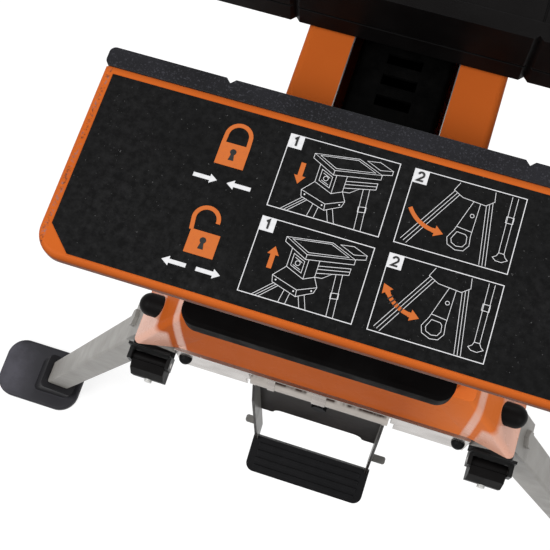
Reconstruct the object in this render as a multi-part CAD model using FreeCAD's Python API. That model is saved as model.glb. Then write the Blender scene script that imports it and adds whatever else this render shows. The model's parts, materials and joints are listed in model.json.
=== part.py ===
import FreeCAD, Part
import math
import os

# Portable clamping stand: a pedal pulls the sliding jaw along a beam towards a fixed jaw.
# Millimetres. X runs along the jaws, Y from the user to the back, Z up from the floor.
# While building, Y = 0 is the clamping face of the fixed jaw; everything is centred at the end.

Vec = FreeCAD.Vector
X_AXIS = Vec(1, 0, 0)
Y_AXIS = Vec(0, 1, 0)
Z_AXIS = Vec(0, 0, 1)
nodes = {}

# Driving sizes of the whole stand
JAW_TOP = 870.0
JAW_LENGTH = 336.0
JAW_DEPTH = 136.0
JAW_OPEN = 78.0
BEAM_WIDTH = 136.0
BEAM_HEIGHT = 80.0
BEAM_BACK = 690.0
BEAM_DROP = 55.0
APRON_DROP = 315.0
APRON_HEIGHT = 85.0
LEG_SPLAY = 24.0
LEG_LEAN = 1.2
REAR_LEAN = 10.0

# Sheet thicknesses and clearances
SHEET = 2.5
PLATE = 3.0
THICK_PLATE = 4.0
GAP = 0.4
RUN = 0.05
OVER = 1.0

# Screws
BOLT_RADIUS = 4.0
BOLT_HEAD = 7.0
BOLT_HEAD_HEIGHT = 5.0

# Jaw faces
FACE_THICK = 12.5
FACE_HEIGHT = 51.0
FACE_CORNER = 4.0
NOTCH_WIDTH = 8.0
NOTCH_DEPTH = 3.0
FIXED_NOTCH = 91.0
SLIDE_NOTCH = 77.0
SEAM_DROP = 33.0
SEAM_WIDTH = 2.0
SEAM_DEPTH = 1.5
FACE_STEP = 1.5

# Heights that follow from the driving sizes
FACE_BOTTOM = JAW_TOP - FACE_HEIGHT
PANEL_TOP = JAW_TOP - FACE_STEP
BEAM_TOP = JAW_TOP - BEAM_DROP
BEAM_BOTTOM = BEAM_TOP - BEAM_HEIGHT
APRON_BOTTOM = JAW_TOP - APRON_DROP
APRON_TOP = APRON_BOTTOM + APRON_HEIGHT
HALF_JAW = JAW_LENGTH / 2
HALF_BEAM = BEAM_WIDTH / 2


def box(x0, x1, y0, y1, z0, z1):
    return Part.makeBox(x1 - x0, y1 - y0, z1 - z0, Vec(x0, y0, z0))


def rod_x(x0, x1, y, z, radius):
    return Part.makeCylinder(radius, x1 - x0, Vec(x0, y, z), X_AXIS)


def rod_y(x, y0, y1, z, radius):
    return Part.makeCylinder(radius, y1 - y0, Vec(x, y0, z), Y_AXIS)


def plate_x(points, x0, x1):
    # a plate whose outline lies in the YZ plane
    corners = [Vec(x0, y, z) for y, z in points]
    face = Part.Face(Part.makePolygon(corners + corners[:1]))
    return face.extrude(Vec(x1 - x0, 0, 0))


def plate_z(points, z0, z1):
    # a plate whose outline lies in the XY plane
    corners = [Vec(x, y, z0) for x, y in points]
    face = Part.Face(Part.makePolygon(corners + corners[:1]))
    return face.extrude(Vec(0, 0, z1 - z0))


def edges_along(shape, axis):
    # straight edges parallel to an axis
    found = []
    for edge in shape.Edges:
        run = edge.Vertexes[-1].Point - edge.Vertexes[0].Point
        if run.Length > 1e-6 and abs(run.normalize().dot(axis)) > 0.999:
            found.append(edge)
    return found


def rounded(shape, axis, radius, keep=None):
    # the edges along one axis rounded, all of them or those that keep() picks
    picked = [e for e in edges_along(shape, axis) if keep is None or keep(e.CenterOfMass)]
    return shape.makeFillet(radius, picked)


def square_tube(half, wall, z0, z1, corner):
    outer = rounded(box(-half, half, -half, half, z0, z1), Z_AXIS, corner)
    inner = half - wall
    hollow = box(-inner, inner, -inner, inner, z0 - OVER, z1 + OVER)
    return outer.cut(hollow)


def hex_bolt(radius, length, head_radius, head_height):
    # axis +Z, the underside of the head at z = 0, the shank below it
    corners = []
    for i in range(6):
        angle = math.radians(60 * i)
        corners.append((head_radius * math.cos(angle), head_radius * math.sin(angle)))
    head = plate_z(corners, 0, head_height)
    return head.fuse(Part.makeCylinder(radius, length, Vec(0, 0, -length)))


def placed(shape, position, axis=X_AXIS, degrees=0.0):
    moved = shape.copy()
    moved.rotate(Vec(0, 0, 0), axis, degrees)
    moved.translate(position)
    return moved


def mirrored(shape):
    return shape.mirror(Vec(0, 0, 0), X_AXIS)


def both_sides(shape):
    return Part.makeCompound([shape, mirrored(shape)])


# Fixed jaw: a sheet whose sides and front are rolled under to a round edge
PANEL_EDGE = 12.0
PANEL_CORNER = 17.0
PANEL_ROLL = 4.0
PANEL_HEM = 4.0
PANEL_LIP = 7.0
PANEL_BOTTOM = PANEL_TOP - PANEL_EDGE
LABEL_THICK = 0.4
LABEL_SIDE = PANEL_LIP
LABEL_FRONT = PANEL_ROLL + 0.1
LABEL_BACK = 4.5
LABEL_CHAMFER = 15.0
BACK_PLATE_TOP = PANEL_TOP - SHEET


def panel_block(inset, bottom, top):
    # a slab like the panel's outline, its open side at the clamping strip
    side = HALF_JAW - inset
    front = -JAW_DEPTH + inset
    block = box(-side, side, front, -FACE_THICK, bottom, top)
    return rounded(block, Z_AXIS, PANEL_CORNER - inset, lambda c: c.y < front + OVER)


def rim_rounded(block, radius, pick):
    # the rim of the highest or lowest face rounded, except along the clamping strip
    face = pick(block.Faces, key=lambda one: one.CenterOfMass.z)
    rim = [e for e in face.Edges if e.CenterOfMass.y < -FACE_THICK - OVER]
    return block.makeFillet(radius, rim)


def fixed_jaw():
    outside = rim_rounded(panel_block(0, PANEL_BOTTOM, PANEL_TOP), PANEL_ROLL, max)
    outside = rim_rounded(outside, PANEL_HEM, min)
    hollow = rim_rounded(panel_block(SHEET, PANEL_BOTTOM + SHEET, PANEL_TOP - SHEET), PANEL_ROLL - SHEET, max)
    mouth = panel_block(PANEL_LIP, PANEL_BOTTOM - OVER, PANEL_BOTTOM + SHEET + OVER)
    nodes["fixed_jaw_panel"] = outside.cut(hollow.fuse(mouth)).removeSplitter()

    nodes["fixed_jaw_face"] = jaw_face(0.0, -1, FIXED_NOTCH)
    side = HALF_JAW - PANEL_LIP - GAP
    nodes["jaw_back_plate"] = box(
        -side, side, -FACE_THICK - THICK_PLATE, -FACE_THICK, BEAM_TOP, BACK_PLATE_TOP)

    half = HALF_JAW - LABEL_SIDE
    front = -JAW_DEPTH + LABEL_FRONT
    back = -FACE_THICK - LABEL_BACK
    cut = LABEL_CHAMFER
    outline = [(-half, back), (-half, front + cut), (-half + cut, front),
               (half - cut, front), (half, front + cut), (half, back)]
    nodes["jaw_label"] = plate_z(outline, PANEL_TOP, PANEL_TOP + LABEL_THICK)


def jaw_face(front, direction, notch):
    # a moulded strip behind its clamping face, with a level seam and an upright V groove at each side
    back = front + direction * FACE_THICK
    strip = box(-HALF_JAW, HALF_JAW, min(front, back), max(front, back), FACE_BOTTOM, JAW_TOP)
    strip = rounded(strip, Z_AXIS, FACE_CORNER)
    deep = front + direction * NOTCH_DEPTH
    out = front - direction * OVER
    for x in (-notch, notch):
        groove = [(x - NOTCH_WIDTH / 2, out), (x + NOTCH_WIDTH / 2, out), (x, deep)]
        strip = strip.cut(plate_z(groove, FACE_BOTTOM - OVER, JAW_TOP + OVER))
    shallow = front + direction * SEAM_DEPTH
    seam_top = JAW_TOP - SEAM_DROP
    seam = box(-HALF_JAW - OVER, HALF_JAW + OVER, min(out, shallow), max(out, shallow),
               seam_top - SEAM_WIDTH, seam_top)
    return strip.cut(seam)


# Column under the fixed jaw
COLUMN_HALF = 105.0
COLUMN_FRONT = -92.0
COLUMN_BACK = 20.0
COLUMN_CORNER = 12.0
COLUMN_BOTTOM = APRON_TOP - 40.0
BEAM_FRONT = COLUMN_FRONT + 40.0
SUPPORT_X = COLUMN_HALF - 15.0
SUPPORT_THICK = 5.0

# Front cover, a shallow moulded housing, and the wide lock lever that stands in front of it
COVER_HALF = COLUMN_HALF - 10.0
COVER_FRONT = COLUMN_FRONT - 16.0
COVER_TOP = BEAM_TOP + 21.0
COVER_BOTTOM = COVER_TOP - 116.0
COVER_CORNER = 12.0
LEVER_X = -40.0
LEVER_Y = COLUMN_FRONT - 7.0
LEVER_Z = COVER_BOTTOM + 55.0
LEVER_HALF = 6.0
LEVER_HUB = 6.0
LEVER_ARM_HALF = 3.0
LEVER_PIN = 3.0
LEVER_PLAY = 4.0
LEVER_DOWN = 24.0
LEVER_UP = 14.0
PADDLE_HALF = COVER_HALF - 4.0
PADDLE_FRONT = COVER_FRONT - 24.0
PADDLE_BACK = COVER_FRONT - 6.0
PADDLE_DOWN = 10.0
PADDLE_UP = 10.0
PADDLE_CORNER = 11.0
PADDLE_EDGE = 3.0
LUG_HALF = 9.0
LUG_INSIDE = LEVER_HALF + PLATE
LUG_OUTSIDE = LUG_INSIDE + PLATE
LOCK_ROD_Y = COLUMN_FRONT + 10.0


def column():
    wall = PLATE
    shell = rounded(
        box(-COLUMN_HALF, COLUMN_HALF, COLUMN_FRONT, COLUMN_BACK, COLUMN_BOTTOM, BEAM_TOP),
        Z_AXIS, COLUMN_CORNER)
    inside = rounded(
        box(-COLUMN_HALF + wall, COLUMN_HALF - wall, COLUMN_FRONT + wall, COLUMN_BACK - wall,
            COLUMN_BOTTOM - OVER, BEAM_TOP + OVER), Z_AXIS, COLUMN_CORNER - wall)
    beam_notch = box(-HALF_BEAM, HALF_BEAM, COLUMN_BACK - 2 * wall, COLUMN_BACK + OVER,
                     BEAM_BOTTOM, BEAM_TOP + OVER)
    play = LEVER_HALF + LEVER_PLAY
    lever_hole = box(LEVER_X - play, LEVER_X + play, COLUMN_FRONT - OVER, COLUMN_FRONT + 2 * wall,
                     LEVER_Z - LEVER_DOWN, LEVER_Z + LEVER_UP)
    nodes["column_shell"] = shell.cut(inside).cut(beam_notch).cut(lever_hole)

    support = box(SUPPORT_X - SUPPORT_THICK, SUPPORT_X, COLUMN_FRONT,
                  -FACE_THICK - THICK_PLATE, BEAM_TOP, BACK_PLATE_TOP)
    nodes["jaw_supports"] = both_sides(support)


def front_cover():
    wall = PLATE
    outer = rounded(
        box(-COVER_HALF, COVER_HALF, COVER_FRONT, COLUMN_FRONT, COVER_BOTTOM, COVER_TOP),
        Z_AXIS, COVER_CORNER, lambda c: c.y < COVER_FRONT + OVER)
    inner = rounded(
        box(-COVER_HALF + wall, COVER_HALF - wall, COVER_FRONT + wall, COLUMN_FRONT + OVER,
            COVER_BOTTOM + wall, COVER_TOP - wall),
        Z_AXIS, COVER_CORNER - wall, lambda c: c.y < COVER_FRONT + wall + OVER)
    slot = box(LEVER_X - LUG_INSIDE, LEVER_X + LUG_INSIDE, COVER_FRONT - OVER, COVER_FRONT + 2 * wall,
               LEVER_Z - LEVER_HUB - LEVER_PLAY / 2, LEVER_Z + LEVER_HUB + 3 * LEVER_PLAY)
    cover = outer.cut(inner).cut(slot)
    lug = box(LEVER_X + LUG_INSIDE, LEVER_X + LUG_OUTSIDE, COVER_FRONT + wall / 2, COLUMN_FRONT,
              LEVER_Z - LUG_HALF, LEVER_Z + LUG_HALF)
    other = placed(lug, Vec(-LUG_INSIDE - LUG_OUTSIDE, 0, 0))
    pin_hole = rod_x(LEVER_X - LUG_OUTSIDE - OVER, LEVER_X + LUG_OUTSIDE + OVER, LEVER_Y, LEVER_Z, LEVER_PIN)
    nodes["front_cover"] = cover.fuse(lug).fuse(other).cut(pin_hole)


def lock_lever():
    hub = rod_x(LEVER_X - LEVER_HALF, LEVER_X + LEVER_HALF, LEVER_Y, LEVER_Z, LEVER_HUB)
    arm = box(LEVER_X - LEVER_HALF, LEVER_X + LEVER_HALF, PADDLE_BACK - OVER, LOCK_ROD_Y + LEVER_PLAY,
              LEVER_Z - LEVER_ARM_HALF, LEVER_Z + LEVER_ARM_HALF)
    paddle = box(-PADDLE_HALF, PADDLE_HALF, PADDLE_FRONT, PADDLE_BACK,
                 LEVER_Z - PADDLE_DOWN, LEVER_Z + PADDLE_UP)
    paddle = rounded(paddle, Z_AXIS, PADDLE_CORNER, lambda c: c.y < PADDLE_BACK - OVER)
    for pick in (min, max):
        face = pick(paddle.Faces, key=lambda one: one.CenterOfMass.z)
        rim = [e for e in face.Edges if e.CenterOfMass.y < PADDLE_BACK - OVER]
        paddle = paddle.makeFillet(PADDLE_EDGE, rim)
    bore = rod_x(LEVER_X - LUG_INSIDE, LEVER_X + LUG_INSIDE, LEVER_Y, LEVER_Z, LEVER_PIN + RUN)
    nodes["lock_lever"] = hub.fuse(arm).fuse(paddle).cut(bore).removeSplitter()


# Apron: a flared skirt around the foot of the column, its front corners drawn forward as shoulders
APRON_TOP_HALF = COLUMN_HALF + 13.0
APRON_HALF = APRON_TOP_HALF + 51.0
APRON_TOP_FRONT = COLUMN_FRONT - PLATE
APRON_FRONT = APRON_TOP_FRONT - 11.0
APRON_TOP_BACK = COLUMN_BACK + THICK_PLATE
APRON_BACK = APRON_TOP_BACK + 36.0
APRON_CORNER = 5.0
SHOULDER_REACH = 8.0
SHOULDER_WIDTH = 40.0
BUMPER_RADIUS = 10.0
BUMPER_Y = APRON_FRONT + 23.0
BUMPER_Z = APRON_BOTTOM + 30.0
BUMPER_TIP = APRON_HALF - 1.0


def apron_ring(half, front, back, reach, z):
    # a level outline with round corners, the front ones standing forward by the reach
    bend = half - SHOULDER_WIDTH
    outline = [(-half, front - reach), (-bend, front), (bend, front), (half, front - reach),
               (half, back), (-half, back)]
    flat = plate_z(outline, z, z + OVER)
    flat = rounded(flat, Z_AXIS, APRON_CORNER, lambda c: abs(c.x) > half - OVER)
    bottom = min(flat.Faces, key=lambda face: face.CenterOfMass.z)
    return bottom.OuterWire


def apron_loft(inset, bottom, top):
    # the flared body between two level outlines, both drawn in by the inset
    low = apron_ring(APRON_HALF - inset, APRON_FRONT + inset, APRON_BACK - inset, SHOULDER_REACH, bottom)
    high = apron_ring(APRON_TOP_HALF - inset, APRON_TOP_FRONT + inset, APRON_TOP_BACK - inset, 0, top)
    return Part.makeLoft([low, high], True, True)


def apron():
    outer = apron_loft(0, APRON_BOTTOM, APRON_TOP)
    hollow = apron_loft(SHEET, APRON_BOTTOM, APRON_TOP)
    lid_height = box(-APRON_HALF, APRON_HALF, APRON_FRONT, APRON_BACK, APRON_TOP - SHEET, APRON_TOP + OVER)
    well = rounded(
        box(-COLUMN_HALF, COLUMN_HALF, COLUMN_FRONT, COLUMN_BACK, COLUMN_BOTTOM, APRON_TOP + OVER),
        Z_AXIS, COLUMN_CORNER)
    nodes["apron"] = outer.cut(hollow.cut(lid_height)).cut(well)

    stem = rod_x(APRON_TOP_HALF, BUMPER_TIP - BUMPER_RADIUS, BUMPER_Y, BUMPER_Z, BUMPER_RADIUS)
    dome = Part.makeSphere(BUMPER_RADIUS, Vec(BUMPER_TIP - BUMPER_RADIUS, BUMPER_Y, BUMPER_Z))
    nodes["apron_bumpers"] = both_sides(stem.fuse(dome).cut(outer).removeSplitter())


# Pedal hinged at the front of the lower frame
PEDAL_Y = APRON_FRONT + 4.0
PEDAL_Z = APRON_BOTTOM - 17.0
PEDAL_TILT = 6.0
PEDAL_SWING = 45.0
PEDAL_HALF = 60.0
PEDAL_LENGTH = 186.0
PEDAL_FLANGE = 16.0
SHAFT_RADIUS = 5.0
HINGE_TUBE = 12.0
WINDOW_TOP = 106.0
TREAD_DEPTH = 44.0
TREAD_BACK = 9.0
TREAD_SLOPE = 22.0
PAD_HALF = PEDAL_HALF + 2.0
PAD_THICK = 10.0
PAD_RIBS = 4
RIB_HEIGHT = 1.5
PAD_CORNER = 9.0
PAD_EDGE = 8.0
EAR_LENGTH = 14.0
EAR_WIDTH = 5.0
EAR_CORNER = 2.4
EAR_DROP = PEDAL_LENGTH - 22.0
WINDOW_EDGE = 13.0
WINDOW_DEPTH = 11.0
WINDOW_CORNER = 9.0
TONGUE_CORNER = 3.5
FLANGE_START = 40.0
FLANGE_RISE = 4.0
PEDAL_BOLT_DROP = 42.0

# Push rod and bell crank that turn the pedal's swing into the draw bar's pull
CRANK = 30.0
CRANK_HALF = 6.0
CRANK_EYE = 8.0
CRANK_PIN = 4.0
LINK_THICK = 5.0
BELL_Y = PEDAL_Y + 2 * CRANK + 2.0
BELL_Z = BEAM_TOP - 13.0
BELL_PIN = 5.0
RATCHET_X = LEVER_X - 3.0
RATCHET_HALF = 3.0
RATCHET_RADIUS = 26.0
RATCHET_TEETH = 8
RATCHET_ARC = 80.0
RATCHET_START = 5.0
TOOTH_DEPTH = 3.0
TOOTH_LEAN = 0.8
HUB_RADIUS = 13.0
LINK_HALF = 10.0
PIN_REACH = CRANK_HALF + GAP + LINK_THICK + 2.0

# Lower frame of bright folded plate
FRAME_HALF = APRON_HALF - 37.0
FRAME_BACK = APRON_BACK - 10.0
FRAME_BOTTOM = APRON_BOTTOM - 50.0
FRAME_FRONT = APRON_FRONT - 3.0
FRAME_LIP = 7.0
LUG_INNER = PEDAL_HALF + 4.0
PEDAL_SHAFT_END = LUG_INNER + 10.0
FRAME_BOLT = 6.0
FRAME_BOLT_X = FRAME_HALF - 8.0
FRAME_BOLT_Z = FRAME_BOTTOM + 30.0


def lower_frame():
    wall = PLATE
    ring = box(-FRAME_HALF, FRAME_HALF, FRAME_FRONT, FRAME_BACK, FRAME_BOTTOM, APRON_BOTTOM)
    ring = ring.cut(box(-FRAME_HALF + wall, FRAME_HALF - wall, FRAME_FRONT + wall, FRAME_BACK - wall,
                        FRAME_BOTTOM - OVER, APRON_BOTTOM + OVER))
    lug_outer = LUG_INNER + THICK_PLATE
    notch = box(-lug_outer, lug_outer, FRAME_FRONT - OVER, FRAME_FRONT + 2 * wall,
                FRAME_BOTTOM - OVER, APRON_BOTTOM - wall)
    ring = ring.cut(notch)
    lug = box(LUG_INNER, lug_outer, FRAME_FRONT, PEDAL_Y + 2 * HINGE_TUBE, PEDAL_Z - 2 * SHAFT_RADIUS,
              APRON_BOTTOM)
    lip = box(-FRAME_HALF, FRAME_HALF, FRAME_FRONT, FRAME_FRONT + FRAME_LIP,
              APRON_BOTTOM - wall, APRON_BOTTOM)
    hub_room = rod_x(-LUG_INNER, LUG_INNER, PEDAL_Y, PEDAL_Z, HUB_RADIUS + OVER)
    shaft = rod_x(-PEDAL_SHAFT_END, PEDAL_SHAFT_END, PEDAL_Y, PEDAL_Z, SHAFT_RADIUS)
    ring = ring.fuse(lug).fuse(mirrored(lug)).fuse(lip).cut(hub_room).cut(shaft)
    nodes["lower_frame"] = ring.removeSplitter()
    nodes["pedal_shaft"] = shaft

    bolt = Part.makeSphere(FRAME_BOLT, Vec(FRAME_BOLT_X, FRAME_FRONT, FRAME_BOLT_Z))
    outside = box(0, APRON_HALF, FRAME_FRONT - 2 * FRAME_BOLT, FRAME_FRONT, FRAME_BOTTOM, APRON_BOTTOM)
    bolt = bolt.common(outside)
    nodes["frame_bolts"] = both_sides(bolt)


def hang_pedal(shape):
    # from the upright drawing about the hinge to its place on the stand
    return placed(shape, Vec(0, PEDAL_Y, PEDAL_Z), X_AXIS, -PEDAL_TILT)


def pedal():
    half = PEDAL_HALF
    inner = half - SHEET
    hinge = HINGE_TUBE - 2 * OVER
    tube = rod_x(-PAD_HALF, PAD_HALF, 0, 0, HINGE_TUBE)
    web_end = -WINDOW_TOP - WINDOW_DEPTH
    web = box(-inner, inner, 0, SHEET, web_end, -hinge)
    opening = inner - WINDOW_EDGE
    window = rounded(box(-opening, opening, -OVER, SHEET + OVER, -PEDAL_LENGTH, -WINDOW_TOP),
                     Y_AXIS, WINDOW_CORNER, lambda c: c.z > -WINDOW_TOP - OVER)
    web = rounded(web.cut(window), Y_AXIS, TONGUE_CORNER,
                  lambda c: c.z < web_end + OVER and abs(c.x) < inner - OVER)
    tread_fall = math.tan(math.radians(TREAD_SLOPE))
    flange = plate_x([(SHEET, FLANGE_RISE), (SHEET, SHEET * tread_fall - PEDAL_LENGTH - OVER),
                      (-PEDAL_FLANGE, -PEDAL_FLANGE * tread_fall - PEDAL_LENGTH - OVER),
                      (-PEDAL_FLANGE, -FLANGE_START), (-hinge, FLANGE_RISE)], inner, half)
    ear = rounded(box(half - OVER, half + EAR_LENGTH, -EAR_WIDTH, SHEET, -EAR_DROP - SHEET, -EAR_DROP),
                  Z_AXIS, EAR_CORNER, lambda c: c.x > half)
    tread = box(-half, half, -TREAD_DEPTH, -TREAD_BACK, -SHEET, 0)
    tread = placed(tread, Vec(0, 0, -PEDAL_LENGTH), X_AXIS, TREAD_SLOPE)
    lever = tube.fuse(web)
    for piece in (flange, mirrored(flange), ear, mirrored(ear), tread):
        lever = lever.fuse(piece)
    hinge_line = rod_x(-half, half, 0, 0, HINGE_TUBE)
    for middle, thick in ((0.0, CRANK_HALF), (RATCHET_X, RATCHET_HALF)):
        lever = lever.cut(rod_x(middle - thick, middle + thick, 0, 0, HUB_RADIUS).cut(hinge_line))
    bore = rod_x(-PAD_HALF - OVER, PAD_HALF + OVER, 0, 0, SHAFT_RADIUS + RUN)
    bolt = hex_bolt(BOLT_RADIUS, SHEET, BOLT_HEAD, BOLT_HEAD_HEIGHT)
    bolt = placed(bolt, Vec(0, 0, -PEDAL_BOLT_DROP), X_AXIS, 90)
    nodes["pedal_lever"] = hang_pedal(lever.cut(bore).cut(bolt).removeSplitter())
    nodes["pedal_bolt"] = hang_pedal(bolt)

    front = TREAD_DEPTH + 2 * OVER
    pad = rounded(box(-PAD_HALF, PAD_HALF, -front, -TREAD_BACK, 0, PAD_THICK), Z_AXIS, PAD_CORNER,
                  lambda c: c.y < -TREAD_DEPTH)
    pitch = (TREAD_DEPTH - TREAD_BACK - THICK_PLATE) / PAD_RIBS
    for i in range(PAD_RIBS):
        y = -front + THICK_PLATE + i * pitch
        rib = box(-PAD_HALF + PAD_EDGE, PAD_HALF - PAD_EDGE, y, y + pitch / 2,
                  PAD_THICK - OVER, PAD_THICK + RIB_HEIGHT)
        pad = pad.fuse(rib)
    pad = placed(pad, Vec(0, 0, -PEDAL_LENGTH), X_AXIS, TREAD_SLOPE)
    nodes["pedal_pad"] = hang_pedal(pad.cut(both_sides(flange)).removeSplitter())


def pedal_crank():
    # the arm stands half the swing above level at rest and half below it when the pedal is up
    collar = rod_x(-CRANK_HALF, CRANK_HALF, 0, 0, HUB_RADIUS)
    arm = box(-CRANK_HALF, CRANK_HALF, 0, CRANK, -CRANK_EYE, CRANK_EYE)
    eye = rod_x(-CRANK_HALF, CRANK_HALF, CRANK, 0, CRANK_EYE)
    pin = rod_x(0, PIN_REACH, CRANK, 0, CRANK_PIN)
    hinge_line = rod_x(-PEDAL_HALF, PEDAL_HALF, 0, 0, HINGE_TUBE)
    crank = collar.fuse(arm).fuse(eye).fuse(pin).cut(hinge_line)
    nodes["pedal_crank"] = placed(crank.removeSplitter(), Vec(0, PEDAL_Y, PEDAL_Z),
                                  X_AXIS, PEDAL_SWING / 2)

    step = RATCHET_ARC / RATCHET_TEETH
    outline = [(0, 0)]
    for i in range(RATCHET_TEETH):
        low = math.radians(i * step)
        high = math.radians((i + TOOTH_LEAN) * step)
        root = RATCHET_RADIUS - TOOTH_DEPTH
        outline.append((root * math.cos(low), root * math.sin(low)))
        outline.append((RATCHET_RADIUS * math.cos(high), RATCHET_RADIUS * math.sin(high)))
    ratchet = plate_x(outline, RATCHET_X - RATCHET_HALF, RATCHET_X + RATCHET_HALF)
    collar = rod_x(RATCHET_X - RATCHET_HALF, RATCHET_X + RATCHET_HALF, 0, 0, HUB_RADIUS)
    ratchet = ratchet.fuse(collar).cut(hinge_line).removeSplitter()
    nodes["pedal_ratchet"] = placed(ratchet, Vec(0, PEDAL_Y, PEDAL_Z), X_AXIS, RATCHET_START)


def slot_x(y0, y1, z0, z1, radius, x0, x1):
    # a round-ended slot through a link, for a pin that wanders between two points
    slot = rod_x(x0, x1, y0, z0, radius).fuse(rod_x(x0, x1, y1, z1, radius))
    if y1 > y0:
        slot = slot.fuse(box(x0, x1, y0, y1, z0 - radius, z0 + radius))
    if z1 > z0:
        slot = slot.fuse(box(x0, x1, y0 - radius, y0 + radius, z0, z1))
    return slot


def linkage():
    half_swing = math.radians(PEDAL_SWING / 2)
    near = CRANK * math.cos(half_swing)
    rise = CRANK * math.sin(half_swing)
    x0 = CRANK_HALF + GAP
    x1 = x0 + LINK_THICK
    hole = CRANK_PIN + GAP
    low_y = PEDAL_Y + near
    high_y = BELL_Y - near
    low_z = PEDAL_Z + rise
    high_z = BELL_Z + rise
    middle = (low_y + high_y) / 2
    rod = box(x0, x1, middle - LINK_HALF, middle + LINK_HALF, low_z - LINK_HALF, high_z + LINK_HALF)
    rod = rod.cut(slot_x(low_y, PEDAL_Y + CRANK, low_z, low_z, hole, 0, PIN_REACH))
    rod = rod.cut(slot_x(BELL_Y - CRANK, high_y, high_z, high_z, hole, 0, PIN_REACH))
    nodes["push_rod"] = rod

    hub = rod_x(-CRANK_HALF, CRANK_HALF, 0, 0, HUB_RADIUS)
    bell = hub
    for degrees in (180.0, 270.0):
        arm = box(-CRANK_HALF, CRANK_HALF, 0, CRANK, -CRANK_EYE, CRANK_EYE)
        arm = arm.fuse(rod_x(-CRANK_HALF, CRANK_HALF, CRANK, 0, CRANK_EYE))
        arm = arm.fuse(rod_x(0, PIN_REACH, CRANK, 0, CRANK_PIN))
        bell = bell.fuse(placed(arm, Vec(0, 0, 0), X_AXIS, degrees))
    bell = bell.cut(rod_x(-PIN_REACH, PIN_REACH, 0, 0, BELL_PIN + RUN))
    nodes["bell_crank"] = placed(bell.removeSplitter(), Vec(0, BELL_Y, BELL_Z), X_AXIS, -PEDAL_SWING / 2)
    pin_end = HALF_BEAM + PLATE
    nodes["bell_crank_pin"] = rod_x(-pin_end, pin_end, BELL_Y, BELL_Z, BELL_PIN)


# Lock: the lever pushes a rod down on the tail of a pawl over the ratchet
PAWL_Y = PEDAL_Y + 34.0
PAWL_Z = PEDAL_Z + 44.0
PAWL_TAIL_HALF = 2.5
PAWL_HUB = 6.0
PAWL_PIN = 3.0
LOCK_ROD = 2.5
ROD_GUIDE = 20.0
LOCK_GAP = 1.6
MECHANISM_X = RATCHET_X - 15.0
NOSE_GAP = 0.6
NOSE_ANGLE = 50.0
NOSE_ROOT = 5.0
NOSE_TIP = 4.0


def lock_inside():
    x0 = RATCHET_X - RATCHET_HALF
    x1 = LEVER_X + LOCK_ROD
    hub = rod_x(x0, x1, PAWL_Y, PAWL_Z, PAWL_HUB)
    tail = box(x0, x1, LOCK_ROD_Y - 2 * LOCK_ROD, PAWL_Y, PAWL_Z - PAWL_TAIL_HALF, PAWL_Z + PAWL_TAIL_HALF)
    reach = RATCHET_RADIUS + NOSE_GAP
    tip_y = PEDAL_Y + reach * math.cos(math.radians(NOSE_ANGLE))
    tip_z = PEDAL_Z + reach * math.sin(math.radians(NOSE_ANGLE))
    nose = plate_x([(PAWL_Y - NOSE_ROOT, PAWL_Z), (tip_y, tip_z), (tip_y + NOSE_TIP, tip_z - OVER),
                    (PAWL_Y + NOSE_ROOT / 2, PAWL_Z - NOSE_TIP)], x0, x1)
    bore = rod_x(x0 - OVER, x1 + OVER, PAWL_Y, PAWL_Z, PAWL_PIN + RUN)
    nodes["lock_pawl"] = hub.fuse(tail).fuse(nose).cut(bore).removeSplitter()
    lever_pin = rod_x(LEVER_X - LUG_OUTSIDE, LEVER_X + LUG_OUTSIDE, LEVER_Y, LEVER_Z, LEVER_PIN)
    pawl_pin = rod_x(MECHANISM_X - PLATE, x1 + PLATE, PAWL_Y, PAWL_Z, PAWL_PIN)
    nodes["lock_pins"] = Part.makeCompound([lever_pin, pawl_pin])
    guide_top = APRON_TOP + ROD_GUIDE
    plate = box(MECHANISM_X - PLATE, MECHANISM_X, COLUMN_FRONT + PLATE, PAWL_Y + 4 * PAWL_HUB,
                PAWL_Z - 2 * PAWL_HUB, guide_top)
    guide = box(MECHANISM_X, LEVER_X + PAWL_HUB, LOCK_ROD_Y - PAWL_HUB, LOCK_ROD_Y + PAWL_HUB,
                guide_top - ROD_GUIDE / 2, guide_top)
    guide_bore = Part.makeCylinder(LOCK_ROD + RUN, 2 * ROD_GUIDE, Vec(LEVER_X, LOCK_ROD_Y, APRON_TOP))
    nodes["mechanism_plate"] = plate.fuse(guide).cut(guide_bore).cut(pawl_pin).removeSplitter()
    rod_bottom = PAWL_Z + PAWL_TAIL_HALF + LOCK_GAP
    rod_top = LEVER_Z - LEVER_ARM_HALF - LOCK_GAP
    rod_foot = Vec(LEVER_X, LOCK_ROD_Y, rod_bottom)
    nodes["lock_rod"] = Part.makeCylinder(LOCK_ROD, rod_top - rod_bottom, rod_foot)


# Beam and draw bar
BEAM_FLANGE = 32.5
BEAM_CORNER = 5.0
BEAM_SLOT = HALF_BEAM - BEAM_FLANGE
BAR_CORNER = 4.0
BAR_HALF = BEAM_SLOT - 3.5
BAR_FRONT = BELL_Y + CRANK
BAR_BACK = BEAM_BACK - 90.0
RACK_PITCH = 16.0
RACK_SLOT = 8.0
RACK_HALF = 12.0
RACK_START = 44.0
RACK_END = 60.0
BAR_DROP = 15.0
BAR_HEIGHT = 52.0
BAR_PLUG = 20.0
LUG_EYE = 9.0
WEB_FRONT = 6.0
WEB_BACK = 22.0
BAR_TOP = BEAM_TOP - BAR_DROP
BAR_BOTTOM = BAR_TOP - BAR_HEIGHT
GUIDE_LENGTH = 30.0
GUIDE_FROM_END = 80.0
CAP_THICK = 14.0


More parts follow.
